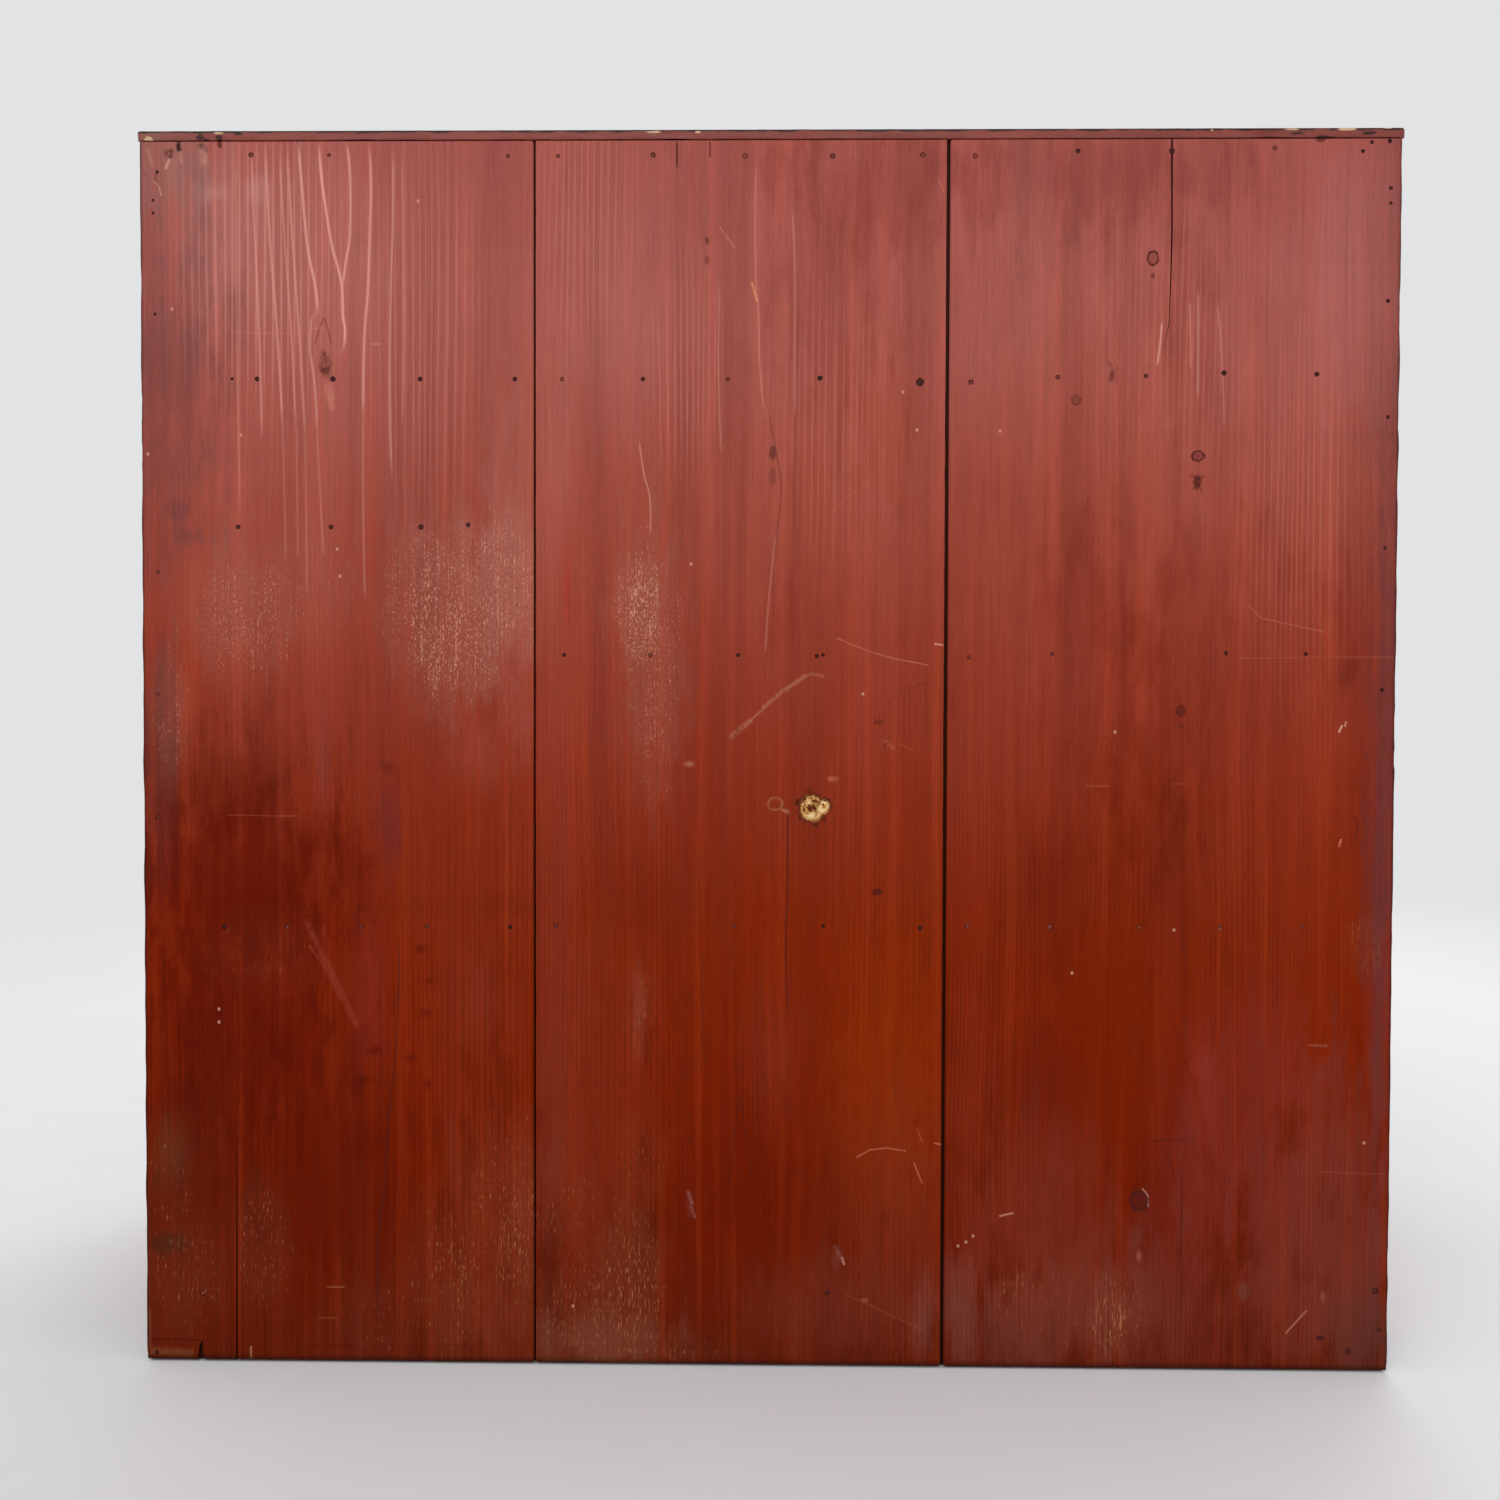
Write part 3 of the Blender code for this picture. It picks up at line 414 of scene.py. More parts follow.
middleBack = {
    "seed": 11.7,
    "pitch": 5.0,
    "stripes": [
        (585, 220, 70, 190, 0.4), (685, 370, 50, 150, 0.45), (830, 420, 80, 200, 0.28),
    ],
    "lines": [
        ([(756, 160), (756, 284), (758, 306), (760, 367), (767, 420)], 2, 0.27),
        ([(792, 205), (795, 284), (795, 367), (795, 420)], 2.2, 0.28),
        ([(719, 280), (719, 394), (722, 455)], 2, 0.25),
        ([(639, 440), (644, 474), (650, 501), (650, 535)], 1.6, 0.48),
        ([(777, 530), (770, 586), (765, 656)], 2, 0.24),
    ],
    "cracks": [
        ([(769, 415), (778, 463), (781, 485), (778, 526), (774, 560)], 2, 0.35),
        ([(788, 806), (787, 900), (786, 950), (789, 1016)], 1.8, 0.65),
        ([(702, 955), (702, 1052)], 1.6, 0.45),
        ([(677, 141), (677, 168)], 2.2, 0.75),
        ([(710, 141), (710, 158)], 2, 0.65),
        ([(739, 1090), (735, 1130), (729, 1190)], 1.8, 0.35),
        ([(739, 1090), (745, 1130), (752, 1180)], 1.8, 0.35),
    ],
    "scuffs": [
        (640, 612, 30, 60, 0.95), (648, 660, 34, 130, 0.62), (640, 1010, 14, 46, 0.45),
        (640, 1165, 26, 40, 0.4), (630, 1290, 34, 88, 0.8), (590, 1315, 62, 62, 0.64),
        (640, 1352, 90, 26, 0.6), (560, 1210, 40, 60, 0.4),
    ],
    "knots": [
        (773, 453, 4.5, 9, 0.6, 0), (773, 476, 4.5, 12, 0.3, 0), (707, 241, 2.6, 5, 0.55, 0),
        (707, 260, 3.6, 6, 0.4, 0), (877, 892, 7, 4, 0.75, 0), (879, 722, 6, 4, 0.45, 0),
    ],
    "blots": [
        (630, 300, 80, 160, 0.34, (176, 104, 96)), (890, 180, 80, 90, 0.45, (138, 60, 50)),
        (832, 779, 7, 4, 0.55, (190, 112, 84)), (878, 1150, 70, 130, 0.45, (132, 46, 16)),
        (560, 1000, 34, 260, 0.34, (132, 56, 42)), (638, 1010, 9, 50, 0.34, (150, 80, 62)),
        (568, 585, 10, 80, 0.6, (160, 56, 40)), (890, 1040, 66, 170, 0.62, (142, 46, 4)),
        (775, 1060, 40, 100, 0.34, (126, 50, 32)), (742, 1180, 60, 110, 0.6, (104, 22, 3)),
        (800, 1220, 60, 90, 0.4, (104, 26, 4)), (640, 1240, 30, 60, 0.45, (84, 34, 12)),
        (600, 1340, 80, 36, 0.55, (128, 70, 50)), (850, 1310, 120, 60, 0.5, (118, 50, 34)),
        (640, 900, 70, 60, 0.4, (112, 30, 12)), (691, 1205, 5, 17, 0.38, (132, 66, 54)),
        (839, 1257, 6, 12, 0.38, (128, 66, 52)), (688, 764, 7, 3, 0.55, (184, 116, 92)),
        (865, 1300, 4, 2.4, 0.5, (186, 118, 90)), (800, 470, 60, 90, 0.3, (166, 78, 56)),
        (825, 290, 70, 170, 0.34, (144, 60, 44)), (777, 165, 40, 40, 0.32, (138, 58, 46)),
        (877, 425, 40, 90, 0.36, (156, 62, 28)), (777, 619, 26, 44, 0.32, (132, 46, 26)),
        (925, 1316, 22, 44, 0.32, (146, 90, 78)), (556, 480, 30, 120, 0.26, (176, 102, 90)),
        (900, 1250, 70, 140, 0.42, (132, 50, 28)), (600, 1080, 80, 240, 0.36, (138, 52, 28)),
    ],
    "strokes": [
        ([(732, 736), (750, 721)], 5.2, 0.5, (180, 116, 88)),
        ([(750, 721), (764, 708)], 2.2, 0.6, (180, 116, 88)),
        ([(764, 707), (783, 691), (804, 677)], 4.2, 0.52, (180, 116, 88)),
        ([(805, 676), (812, 674), (823, 676)], 3.4, 0.36, (180, 116, 88)),
        ([(783, 810), (788, 812)], 4, 0.5, (190, 126, 98)),
        ([(778, 807), (785, 808)], 2.6, 0.6, (92, 38, 26)),
        ([(885, 741), (893, 748)], 4, 0.45, (176, 92, 70)),
        ([(884, 746), (888, 743)], 2, 0.6, (88, 34, 24)),
        ([(887, 704), (896, 695), (913, 687), (928, 683)], 2.4, 0.38, (104, 44, 34)),
        ([(899, 744), (913, 750)], 1.2, 0.4, (184, 100, 76)),
        ([(735, 736), (738, 729)], 1.8, 0.65, (96, 42, 30)),
        ([(740, 732), (743, 726)], 1.6, 0.55, (96, 42, 30)),
        ([(837, 638), (848, 643), (871, 652), (896, 659), (928, 665)], 1.4, 0.52, (196, 122, 100)),
        ([(935, 644), (943, 645)], 1.8, 0.85, (230, 160, 134)),
        ([(719, 226), (734, 247)], 1.4, 0.55, (206, 128, 106)),
        ([(752, 283), (757, 301)], 2.2, 0.85, (226, 138, 98)),
        ([(857, 1157), (870, 1150), (886, 1148), (905, 1151)], 1.6, 0.7, (192, 110, 84)),
        ([(914, 1163), (922, 1183)], 1.5, 0.65, (196, 112, 84)),
        ([(917, 1128), (922, 1142)], 1.2, 0.5, (186, 100, 70)),
        ([(934, 1143), (943, 1145)], 1.8, 0.7, (206, 130, 106)),
        ([(847, 1295), (923, 1330)], 1.2, 0.4, (164, 88, 64)),
        ([(688, 1192), (692, 1203)], 3.2, 0.42, (160, 104, 100)),
        ([(691, 1207), (695, 1217)], 2.8, 0.38, (160, 104, 100)),
        ([(835, 1247), (840, 1256)], 3.6, 0.42, (140, 92, 80)),
        ([(842, 1258), (844, 1264)], 2.6, 0.6, (200, 150, 128)),
        ([(834, 509), (870, 479)], 1.2, 0.35, (190, 110, 84)),
        ([(939, 180), (944, 191)], 1.5, 0.55, (200, 116, 92)),
    ],
    "dots": [
        (691, 564), (917, 430), (903, 392), (863, 694), (573, 1306),
    ],
    "chip": [(812, 808, 14, 16), (823, 807, 8, 9)],
    "loop": (775, 804, 7, 6),
}

leftBack = {
    "seed": 23.9,
    "pitch": 4.4,
    "stripes": [
        (1130, 330, 90, 180, 0.18), (1200, 330, 60, 190, 0.22), (1300, 500, 90, 260, 0.3),
    ],
    "lines": [
        ([(1162, 322), (1160, 345), (1157, 366)], 2.4, 0.6),
        ([(1198, 290), (1198, 340), (1198, 400)], 2.4, 0.35),
        ([(1190, 300), (1191, 370)], 2, 0.3),
        ([(1217, 300), (1222, 360), (1224, 430)], 2, 0.25),
    ],
    "cracks": [
        ([(1181, 1168), (1182, 1210), (1181, 1262)], 1.8, 0.5),
        ([(1166, 1152), (1172, 1168), (1176, 1186)], 1.6, 0.45),
        ([(1355, 815), (1357, 828), (1355, 842)], 1.8, 0.55),
    ],
    "scuffs": [
        (1114, 1318, 28, 40, 0.8), (1012, 1290, 16, 20, 0.5), (1364, 945, 22, 24, 0.45),
        (1060, 1310, 60, 40, 0.3),
    ],
    "knots": [
        (1153, 258, 5, 6.4, 0.3, 0.9), (1153, 276, 2.4, 4, 0.6, 0), (1112, 376, 3.4, 7, 0.5, 0),
        (1076, 400, 4, 4.4, 0.25, 0.6), (1198, 456, 6, 4.6, 0.4, 0.9), (1197, 482, 5, 9, 0.75, 0),
        (1181, 711, 4.5, 5, 0.55, 0.7), (1181, 726, 3.6, 4.4, 0.35, 0), (1139, 1201, 8.4, 9, 0.55, 0.8),
        (1320, 1338, 5.5, 3.6, 0.9, 0), (1348, 1351, 3.6, 5, 0.8, 0), (1321, 139, 6, 4, 0.7, 0),
    ],
    "blots": [
        (1387, 700, 18, 640, 0.54, (104, 58, 60)), (1345, 260, 60, 190, 0.5, (176, 104, 100)),
        (1110, 172, 180, 62, 0.55, (132, 60, 52)), (1325, 1230, 100, 180, 0.5, (126, 60, 48)),
        (1100, 1310, 130, 50, 0.4, (122, 60, 46)), (1010, 1180, 90, 150, 0.35, (126, 48, 28)),
        (1212, 330, 9, 110, 0.5, (136, 62, 56)), (1136, 300, 26, 70, 0.4, (146, 74, 68)),
        (1030, 240, 40, 120, 0.34, (160, 92, 84)), (1118, 980, 60, 200, 0.55, (120, 31, 1)),
        (1040, 890, 50, 90, 0.45, (104, 28, 8)), (1172, 880, 30, 120, 0.45, (106, 30, 14)),
        (1204, 1080, 16, 60, 0.5, (146, 56, 46)), (1200, 1190, 46, 120, 0.45, (126, 46, 34)),
        (1072, 1190, 30, 90, 0.24, (122, 44, 26)), (1136, 1239, 7, 12, 0.5, (108, 54, 48)),
        (1139, 1256, 2.5, 6, 0.5, (180, 116, 94)), (1243, 1291, 9, 12, 0.5, (112, 70, 60)),
        (1322, 1296, 4, 8, 0.45, (166, 104, 78)), (1370, 1335, 46, 54, 0.55, (84, 50, 42)),
        (1000, 1335, 60, 40, 0.5, (104, 52, 44)), (1040, 1080, 50, 60, 0.45, (104, 24, 6)),
        (1199, 512, 17, 26, 0.35, (164, 84, 74)), (1346, 672, 12, 16, 0.45, (104, 42, 34)),
        (970, 900, 24, 120, 0.4, (138, 38, 12)), (1230, 670, 190, 170, 0.26, (120, 32, 8)),
        (1150, 750, 60, 150, 0.32, (112, 30, 4)), (977, 190, 28, 64, 0.34, (136, 58, 48)),
        (1275, 268, 30, 44, 0.26, (178, 104, 96)), (1076, 1245, 26, 40, 0.32, (106, 28, 4)),
        (1180, 350, 30, 110, 0.42, (142, 62, 48)), (972, 1090, 28, 120, 0.34, (140, 48, 26)),
        (958, 1305, 34, 50, 0.36, (146, 86, 72)), (1150, 1310, 250, 90, 0.34, (132, 58, 44)),
        (1250, 1100, 70, 180, 0.34, (132, 50, 40)), (1030, 1230, 80, 120, 0.34, (134, 54, 38)),
    ],
    "strokes": [
        ([(1249, 606), (1261, 618), (1288, 624), (1324, 632)], 1.4, 0.45, (190, 110, 88)),
        ([(1240, 658), (1393, 657)], 1.2, 0.4, (176, 96, 76)),
        ([(1087, 786), (1109, 786)], 2, 0.4, (166, 92, 70)),
        ([(1171, 784), (1189, 784)], 1.4, 0.3, (160, 84, 66)),
        ([(1152, 1141), (1187, 1139)], 2.2, 0.65, (84, 28, 20)),
        ([(1286, 1333), (1306, 1311)], 1.8, 0.7, (190, 124, 98)),
        ([(1000, 1216), (1013, 1213)], 2, 0.7, (206, 140, 118)),
        ([(1339, 732), (1342, 726)], 2, 0.75, (226, 172, 146)),
        ([(1345, 726), (1346, 722)], 1.8, 0.65, (216, 158, 132)),
        ([(1109, 362), (1113, 371), (1110, 381)], 4.4, 0.42, (96, 44, 40)),
        ([(1117, 366), (1116, 384)], 3.2, 0.34, (96, 44, 40)),
        ([(1191, 475), (1199, 479), (1204, 476)], 2.6, 0.55, (82, 34, 30)),
        ([(1193, 489), (1198, 484), (1202, 492)], 2.4, 0.5, (82, 34, 30)),
        ([(1339, 846), (1341, 840)], 2.2, 0.75, (214, 128, 90)),
        ([(1143, 1189), (1148, 1196), (1148, 1206)], 2, 0.7, (196, 140, 124)),
        ([(1309, 1045), (1327, 1046)], 2.2, 0.45, (170, 100, 80)),
        ([(1320, 1172), (1384, 1174)], 1.2, 0.35, (160, 86, 66)),
    ],
    "dots": [
        (1000, 431), (1115, 732), (1139, 927), (1174, 930), (1220, 928), (1302, 927), (1072, 973),
        (1364, 1143), (958, 1246), (966, 1242), (973, 1236),
    ],
}

backBoards = {"back_board_right": rightBack, "back_board_middle": middleBack, "back_board_left": leftBack}


def lineShare(distance, wide, most):
    return spread(distance, wide * pixel * 0.80, wide * pixel * 0.10, 0.0, most)


def backLook(name, plan):
    look, place = newLook(name)
    x, y, z = part(place, 0), part(place, 1), part(place, 2)
    seed = plan["seed"]
    sway = cloud(stretch(place, (9.0, 3.0, 1.5), seed)) - 0.5
    cut = x + sway * 0.018
    grain = join(cut, y, z)
    broad = cloud(stretch(grain, (34.0, 20.0, 1.3), seed), 3.0, 0.55)
    bands = cloud(stretch(grain, (120.0, 60.0, 2.2), seed + 4), 2.0, 0.5)
    fibre = cloud(stretch(grain, (620.0, 200.0, 16.0), seed + 8), 3.0, 0.65)
    haze = cloud(stretch(place, (7.0, 7.0, 5.0), seed + 2), 4.0, 0.6)
    mottle = cloud(stretch(grain, (75.0, 40.0, 22.0), seed + 14), 5.0, 0.68)
    speckle = cloud(stretch(grain, (1050.0, 200.0, 380.0), seed + 12), 2.5, 0.65)
    high = spread(z, 0.30, 0.42)  # the scuffs are flecks above and upright dashes below
    dashes = cloud(stretch(grain, (1600.0, 200.0, 170.0), seed + 18), 1.5, 0.5)
    flecks = cloud(stretch(grain, (1700.0, 200.0, 600.0), seed + 16), 1.5, 0.5)
    flecks = flecks * high + dashes * (1.0 - high)
    ragged = haze * 0.6 + bands * 1.5 + mottle * 1.8 - 1.95
    torn = haze * 1.2 + bands * 0.5 + mottle * 2.2 - 1.95

    # the stain, paler towards the top, partly faded and partly a painted sheen of reflected light, and dark
    # near the floor
    level = z / stain["top"] + (haze - 0.5) * 0.18 + (broad - 0.5) * 0.14
    colour = ramp(level, stain["stainAndSheen"])
    colour = tint(spread(bands, 0.52, 0.72, 0.0, 0.12), colour, stain["orange"])
    dulled = spread(broad, 0.50, 0.30, 0.0, 0.22) * spread(z, 0.25, 0.60, 0.25, 1.0)
    colour = tint(dulled, colour, stain["plum"])
    darkening = spread(mottle + haze * 0.4, 0.66, 0.90, 0.0, 0.38) * spread(z, 0.55, 0.10, 0.12, 1.0)
    colour = tint(darkening, colour, stain["grime"])
    for px, py, wide, tall, share, hue in plan["blots"]:
        rim = oval(place, px, py, wide, tall) + (torn if min(wide, tall) > stain["cloudy"] else ragged)
        colour = tint(spread(rim, 1.25, 0.10, 0.0, share), colour, tone(*hue))

    # grain: fine lines everywhere, pale stripes and single lines where they stand out
    phase = cut * (1000.0 / plan["pitch"]) + cloud(stretch(grain, (26.0, 9.0, 0.7), seed + 6)) * 3.2
    wave = phase.maths("SINE", phase * (2 * math.pi))
    fine = phase.maths("SINE", phase * (2 * math.pi * 1.31))
    glow = broad * 0.30 + bands * 0.26 + fibre * 0.44 + mottle * 0.40 + speckle * 0.24 + 0.20
    lined = spread(haze + broad * 0.6, 0.72, 0.92, 0.2, 1.0) * spread(z, 0.60, 0.25, 0.25, 1.0)
    glow = glow - spread(fine, 0.35, 1.0, 0.0, 0.21) * lined
    colour = scaled(colour, glow)
    striped = 0.0
    for px, py, wide, tall, share in plan["stripes"]:
        striped = spread(oval(place, px, py, wide, tall), 1.0, 0.2, 0.0, share) + striped
    colour = tint(spread(wave, 0.35, 1.0, 0.0, 0.40) * striped, colour, stain["line"])
    patchy = bands * 0.6 + 0.7
    for path, wide, share in plan["lines"]:
        distance, ends = alongGrain(x, z, path)
        colour = tint(lineShare(distance, wide, share * 0.95) * ends * patchy, colour, stain["line"])
    for path, wide, share in plan["cracks"]:
        distance, ends = alongGrain(x, z, path)
        colour = tint(lineShare(distance, wide, share) * ends, colour, stain["ink"])

    # scuffs bare the wood in flecks
    patch = 0.0
    for px, py, wide, tall, share in plan["scuffs"]:
        rim = oval(place, px, py, wide, tall) + torn
        patch = rim.maths("MAXIMUM", spread(rim, 1.55, 0.45, 0.0, share), patch)
    rubbed = flecks + fibre * 0.46 + mottle * 0.32 + patch * 0.22
    worn = spread(rubbed, 1.12, 1.31) * spread(patch, 0.01, 0.20)
    bared = tint(high, stain["ochre"], stain["pale"])
    colour = tint(spread(flecks, 0.44, 0.30, 0.0, 0.40) * patch, colour, stain["grime"])
    colour = tint(worn * (high * 0.10 + 0.68) + patch * (high * 0.06 + 0.07), colour, bared)

    # scratches, knots and small pale dots
    chafed = (speckle - 0.5) * (pixel * 1.5)
    skips = spread(speckle, 0.34, 0.48)
    for path, wide, share, hue in plan["strokes"]:
        spots = [onBack(*spot) for spot in path]
        near = None
        for start, end in zip(spots, spots[1:]):
            distance = stroke(place, start, end)
            near = distance if near is None else near.maths("MINIMUM", near, distance)
        colour = tint(lineShare(near + chafed, wide, share) * skips, colour, tone(*hue))
    uneven = fibre * 0.5 + speckle * 0.8 - 0.65
    for px, py, wide, tall, share, ring in plan["knots"]:
        rim = oval(place, px, py, wide, tall) + uneven
        colour = tint(spread(rim, 1.0, 0.55, 0.0, share), colour, stain["ink"])
        if ring:
            colour = tint(spread(abs(rim - 1.0), 0.30, 0.08, 0.0, ring), colour, stain["ink"])
    for spot in plan["dots"]:
        colour = tint(spread(oval(place, *spot, 1.7, 2.0), 1.1, 0.5, 0.0, 0.75), colour, stain["pale"])

    height = fibre * 0.5 + wave * 0.12
    if "loop" in plan:
        rim = oval(place, *plan["loop"]) + uneven
        colour = tint(spread(abs(rim - 1.0), 0.28, 0.05, 0.0, 0.36), colour, stain["ochre"])
    if "chip" in plan:
        lumps = cloud(stretch(place, (270.0, 270.0, 270.0), seed), 3.0, 0.65)
        rims = [oval(place, *spot) for spot in plan["chip"]]
        rim = lumps.maths("MINIMUM", *rims) + (lumps - 0.5) * 1.5
        gouged = spread(rim, 0.95, 0.80)
        colour = tint(spread(rim, 1.20, 0.95, 0.0, 0.6), colour, stain["ink"])
        # bare wood in the chip, its palest stop a painted highlight
        colour = tint(gouged, colour, ramp(lumps, stain["gold"]))
        height = height - gouged * lumps * 6.0

    # painted shade: a dark line on the outer arrises, a painted contact shadow along the foot, and painted
    # shade on the boards' edges and inner faces, strongest in the seams
    face = spread(y, backY - 2.2 * mm, backY - 0.6 * mm)
    colour = tint(spread(abs(x), 0.4495, 0.4530, 0.0, 0.75) * face, colour, stain["rim"])
    colour = tint(spread(z, 0.0075, 0.0020, 0.0, 0.65), colour, stain["foot"])
    inner = spread(abs(x), 0.4525, 0.4510, 0.25, 0.9)
    colour = tint(spread(y, backY - 1.2 * mm, backY - 2.6 * mm) * inner, colour, stain["shadedFlank"])
    settings = {
        "Base Color": colour,
        "Roughness": broad * 0.3 + worn * 0.2 + (stain["rough"] - 0.15),
        "Specular IOR Level": stain["specular"],
        "Coat Weight": stain["coat"],
        "Coat Roughness": 0.32,
    }
    return surface(look, place, settings, height, 0.35 * mm)


def meshPiece(name, shape, look, body, stands=()):
    mesh = bpy.data.meshes.new(name)
    shape.to_mesh(mesh)
    shape.free()
    mesh.shade_smooth()
    mesh.set_sharp_from_angle(angle=math.radians(32))
    piece = bpy.data.objects.new(name, mesh)
    bpy.context.collection.objects.link(piece)
    mesh.materials.append(look)
    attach(piece, body)
    if stands:
        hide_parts(*stands)
    return piece


def solidOf(node):
    shape = bmesh.new()
    shape.from_mesh(nodes[node].data)
    bmesh.ops.remove_doubles(shape, verts=shape.verts, dist=1e-6)
    bmesh.ops.dissolve_limit(shape, angle_limit=0.01, verts=shape.verts, edges=shape.edges)
    return shape


def slices(shape, axis, step):
    normal = Vector([float(index == axis) for index in range(3)])
    low = min(vert.co[axis] for vert in shape.verts)
    high = max(vert.co[axis] for vert in shape.verts)
    count = max(1, round((high - low) / step))
    for index in range(1, count):
        everything = shape.verts[:] + shape.edges[:] + shape.faces[:]
        at = normal * (low + (high - low) * index / count)
        bmesh.ops.bisect_plane(shape, geom=everything, plane_co=at, plane_no=normal, dist=1e-6)


def sharpEdges(shape):
    edges = [edge for edge in shape.edges if edge.is_manifold and edge.is_convex]
    return [edge for edge in edges if edge.calc_face_angle() > 0.5]


def soften(shape, width):
    settings = {"segments": 2, "profile": 0.6, "affect": "EDGES", "clamp_overlap": True}
    bmesh.ops.bevel(shape, geom=sharpEdges(shape), offset=width, **settings)


knocks = {"sharp": 0.2, "even": 0.35, "rough": 0.6, "chips": 2.0, "rare": 0.25, "coarse": 0.31}


def wearEdges(shape, amount, scale, seed):
    shape.normal_update()
    sharp = [edge for edge in shape.edges if edge.calc_face_angle(0.0) > knocks["sharp"]]
    for vert in {vert for edge in sharp for vert in edge.verts}:
        rough = noise.noise(vert.co * scale + Vector((seed, 0.0, 0.0)))
        chips = noise.noise(vert.co * scale * knocks["coarse"] + Vector((0.0, seed, 0.0))) - knocks["rare"]
        loss = max(0.0, knocks["even"] + rough) * knocks["rough"] + max(0.0, chips) * knocks["chips"]
        vert.co -= vert.normal * amount * loss


def cutAway(piece, cutter):
    holder = bpy.data.objects.new("cutter", bpy.data.meshes.new("cutter"))
    cutter.to_mesh(holder.data)
    cutter.free()
    bpy.context.collection.objects.link(holder)
    change = piece.modifiers.new("cut", "BOOLEAN")
    change.operation = "DIFFERENCE"
    change.solver = "EXACT"
    change.object = holder
    bpy.context.view_layer.update()
    graph = bpy.context.evaluated_depsgraph_get()
    cut = bpy.data.meshes.new_from_object(piece.evaluated_get(graph))
    piece.modifiers.clear()
    piece.data = cut
    bpy.data.objects.remove(holder)


def skin(shape, rings):
    faces = [shape.faces.new(rings[0]), shape.faces.new(rings[-1][::-1])]
    count = len(rings[0])
    for first, second in zip(rings, rings[1:]):
        for turn in range(count):
            after = (turn + 1) % count
            faces.append(shape.faces.new((first[after], first[turn], second[turn], second[after])))
    bmesh.ops.recalc_face_normals(shape, faces=faces)


def prism(shape, outline, near, far):
    skin(shape, [[shape.verts.new((x, depth, z)) for x, z in outline] for depth in (near, far)])


# Splits run with the grain, wedge-shaped in width; pegs sit a little below the face in their holes.
splits = [
    {
        "path": [(1172, 137), (1172, 180), (1172, 234), (1171, 276), (1169, 324), (1164, 350)],
        "wide": (1.4, 1.3, 1.2, 0.9, 0.6, 0.2),
        "depth": 5.0,
    },
    {
        "path": [(236, 1120), (237, 1169), (237, 1250), (237, 1370)],
        "wide": (0.2, 0.7, 1, 1.3),
        "depth": 5.0,
    },
    {
        "path": [(202, 1340), (201, 1348), (201, 1368)],
        "wide": (0.6, 3.2, 4.6),
        "depth": 3.0,
    },
]

pegs = {
    "open": {
        "sink": (0.30, 0.65),
        "spots": [
            (257, 379, 1.8), (232, 379, 1.3), (333, 379, 2), (420, 379, 1.9), (515, 379, 1.8),
            (643, 379, 1.7), (820, 378, 2), (920, 382, 3.1), (1224, 373, 2), (1317, 374, 1.9),
            (238, 527, 1.8), (331, 527, 1.7), (421, 527, 2), (468, 525, 1.9), (564, 655, 1.5),
            (738, 655, 1.5), (817, 656, 1.6), (823, 655, 1.4), (1226, 653, 1.6), (1306, 654, 1.5),
            (224, 927, 1.9), (510, 927, 1.7), (920, 928, 1.7), (823, 926, 1.5), (827, 1293, 1.8),
            (1375, 1291, 2.4), (1078, 151, 1.8), (1172, 151, 2.2), (1363, 151, 1.5), (1372, 142, 1.5),
            (1390, 141, 1.9), (157, 172, 1.4), (153, 200, 1.2), (153, 213, 1.2), (155, 314, 1.3),
            (157, 1352, 1.6), (1391, 188, 1.6), (1391, 203, 1.4), (1388, 301, 1.6), (1388, 417, 1.5),
            (1385, 548, 1.3), (1382, 690, 1.4), (1379, 1330, 1.6),
        ],
    },
    "flush": {
        "sink": (0.10, 0.30),
        "spots": [
            (203, 1293, 1.9), (1275, 148, 1.9), (251, 155, 2), (329, 155, 1.4), (508, 156, 1.5),
            (558, 156, 1.6), (653, 155, 2), (745, 156, 2.1), (833, 156, 2.2), (923, 155, 2), (975, 156, 2),
            (562, 379, 1.6), (728, 379, 1.6), (971, 382, 2.1), (1058, 377, 1.8), (1146, 376, 1.7),
            (650, 655, 1.7), (969, 657, 1.5), (1052, 654, 1.5), (287, 927, 1.8), (361, 927, 1.6),
            (427, 926, 1.8), (556, 926, 1.6), (734, 926, 1.6), (967, 926, 1.9), (1050, 927, 2.2),
            (1139, 927, 1.6), (1220, 927, 1.7), (1302, 927, 1.6), (158, 572, 1.5), (158, 694, 1.5),
            (158, 817, 1.5),
        ],
    },
    "depth": 2.2,
    "slack": 0.30,
    "fit": 0.92,  # share of the noted radius
    "torn": (0.96, 1.16),  # reach of a hole's rim, as a share of its radius
    "nudge": ((-0.12, 0.12), (-0.14, 0.08)),
    "holeSides": 12,
    "headSides": 10,
}

# Bites out of the outer edges: pixel, depth and height in mm.
notches = [
    (144, 408, 2.2, 5), (147, 831, 2.4, 7), (148, 454, 1.2, 4), (1395, 725, 2, 5), (1392, 760, 1.2, 4),
    (1391, 923, 1.6, 4), (1386, 1265, 1.8, 6), (1397, 420, 0.9, 8), (1400, 300, 0.8, 8),
]


def boardOf(spot):
    for node in backBoards:
        low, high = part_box(node)
        face = (low.x + 4 * mm, high.x - 4 * mm) if node == "back_board_middle" else (low.x, high.x)
        if face[0] <= spot[0] <= face[1]:
            return node
    return None


def edgeBite(at, outward):
    bite = 0.0
    for px, py, deep, tall in notches:
        x, z = onBack(px, py)
        if x * outward > 0:
            bite = max(bite, deep * mm * math.exp(-(((at.z - z) / (tall * mm)) ** 2)))
    return bite


backEdge = {"round": 0.5, "step": 5.0, "rim": 1.2, "ripple": 0.7, "foot": 5.0, "lift": 3.5, "wear": 0.35}


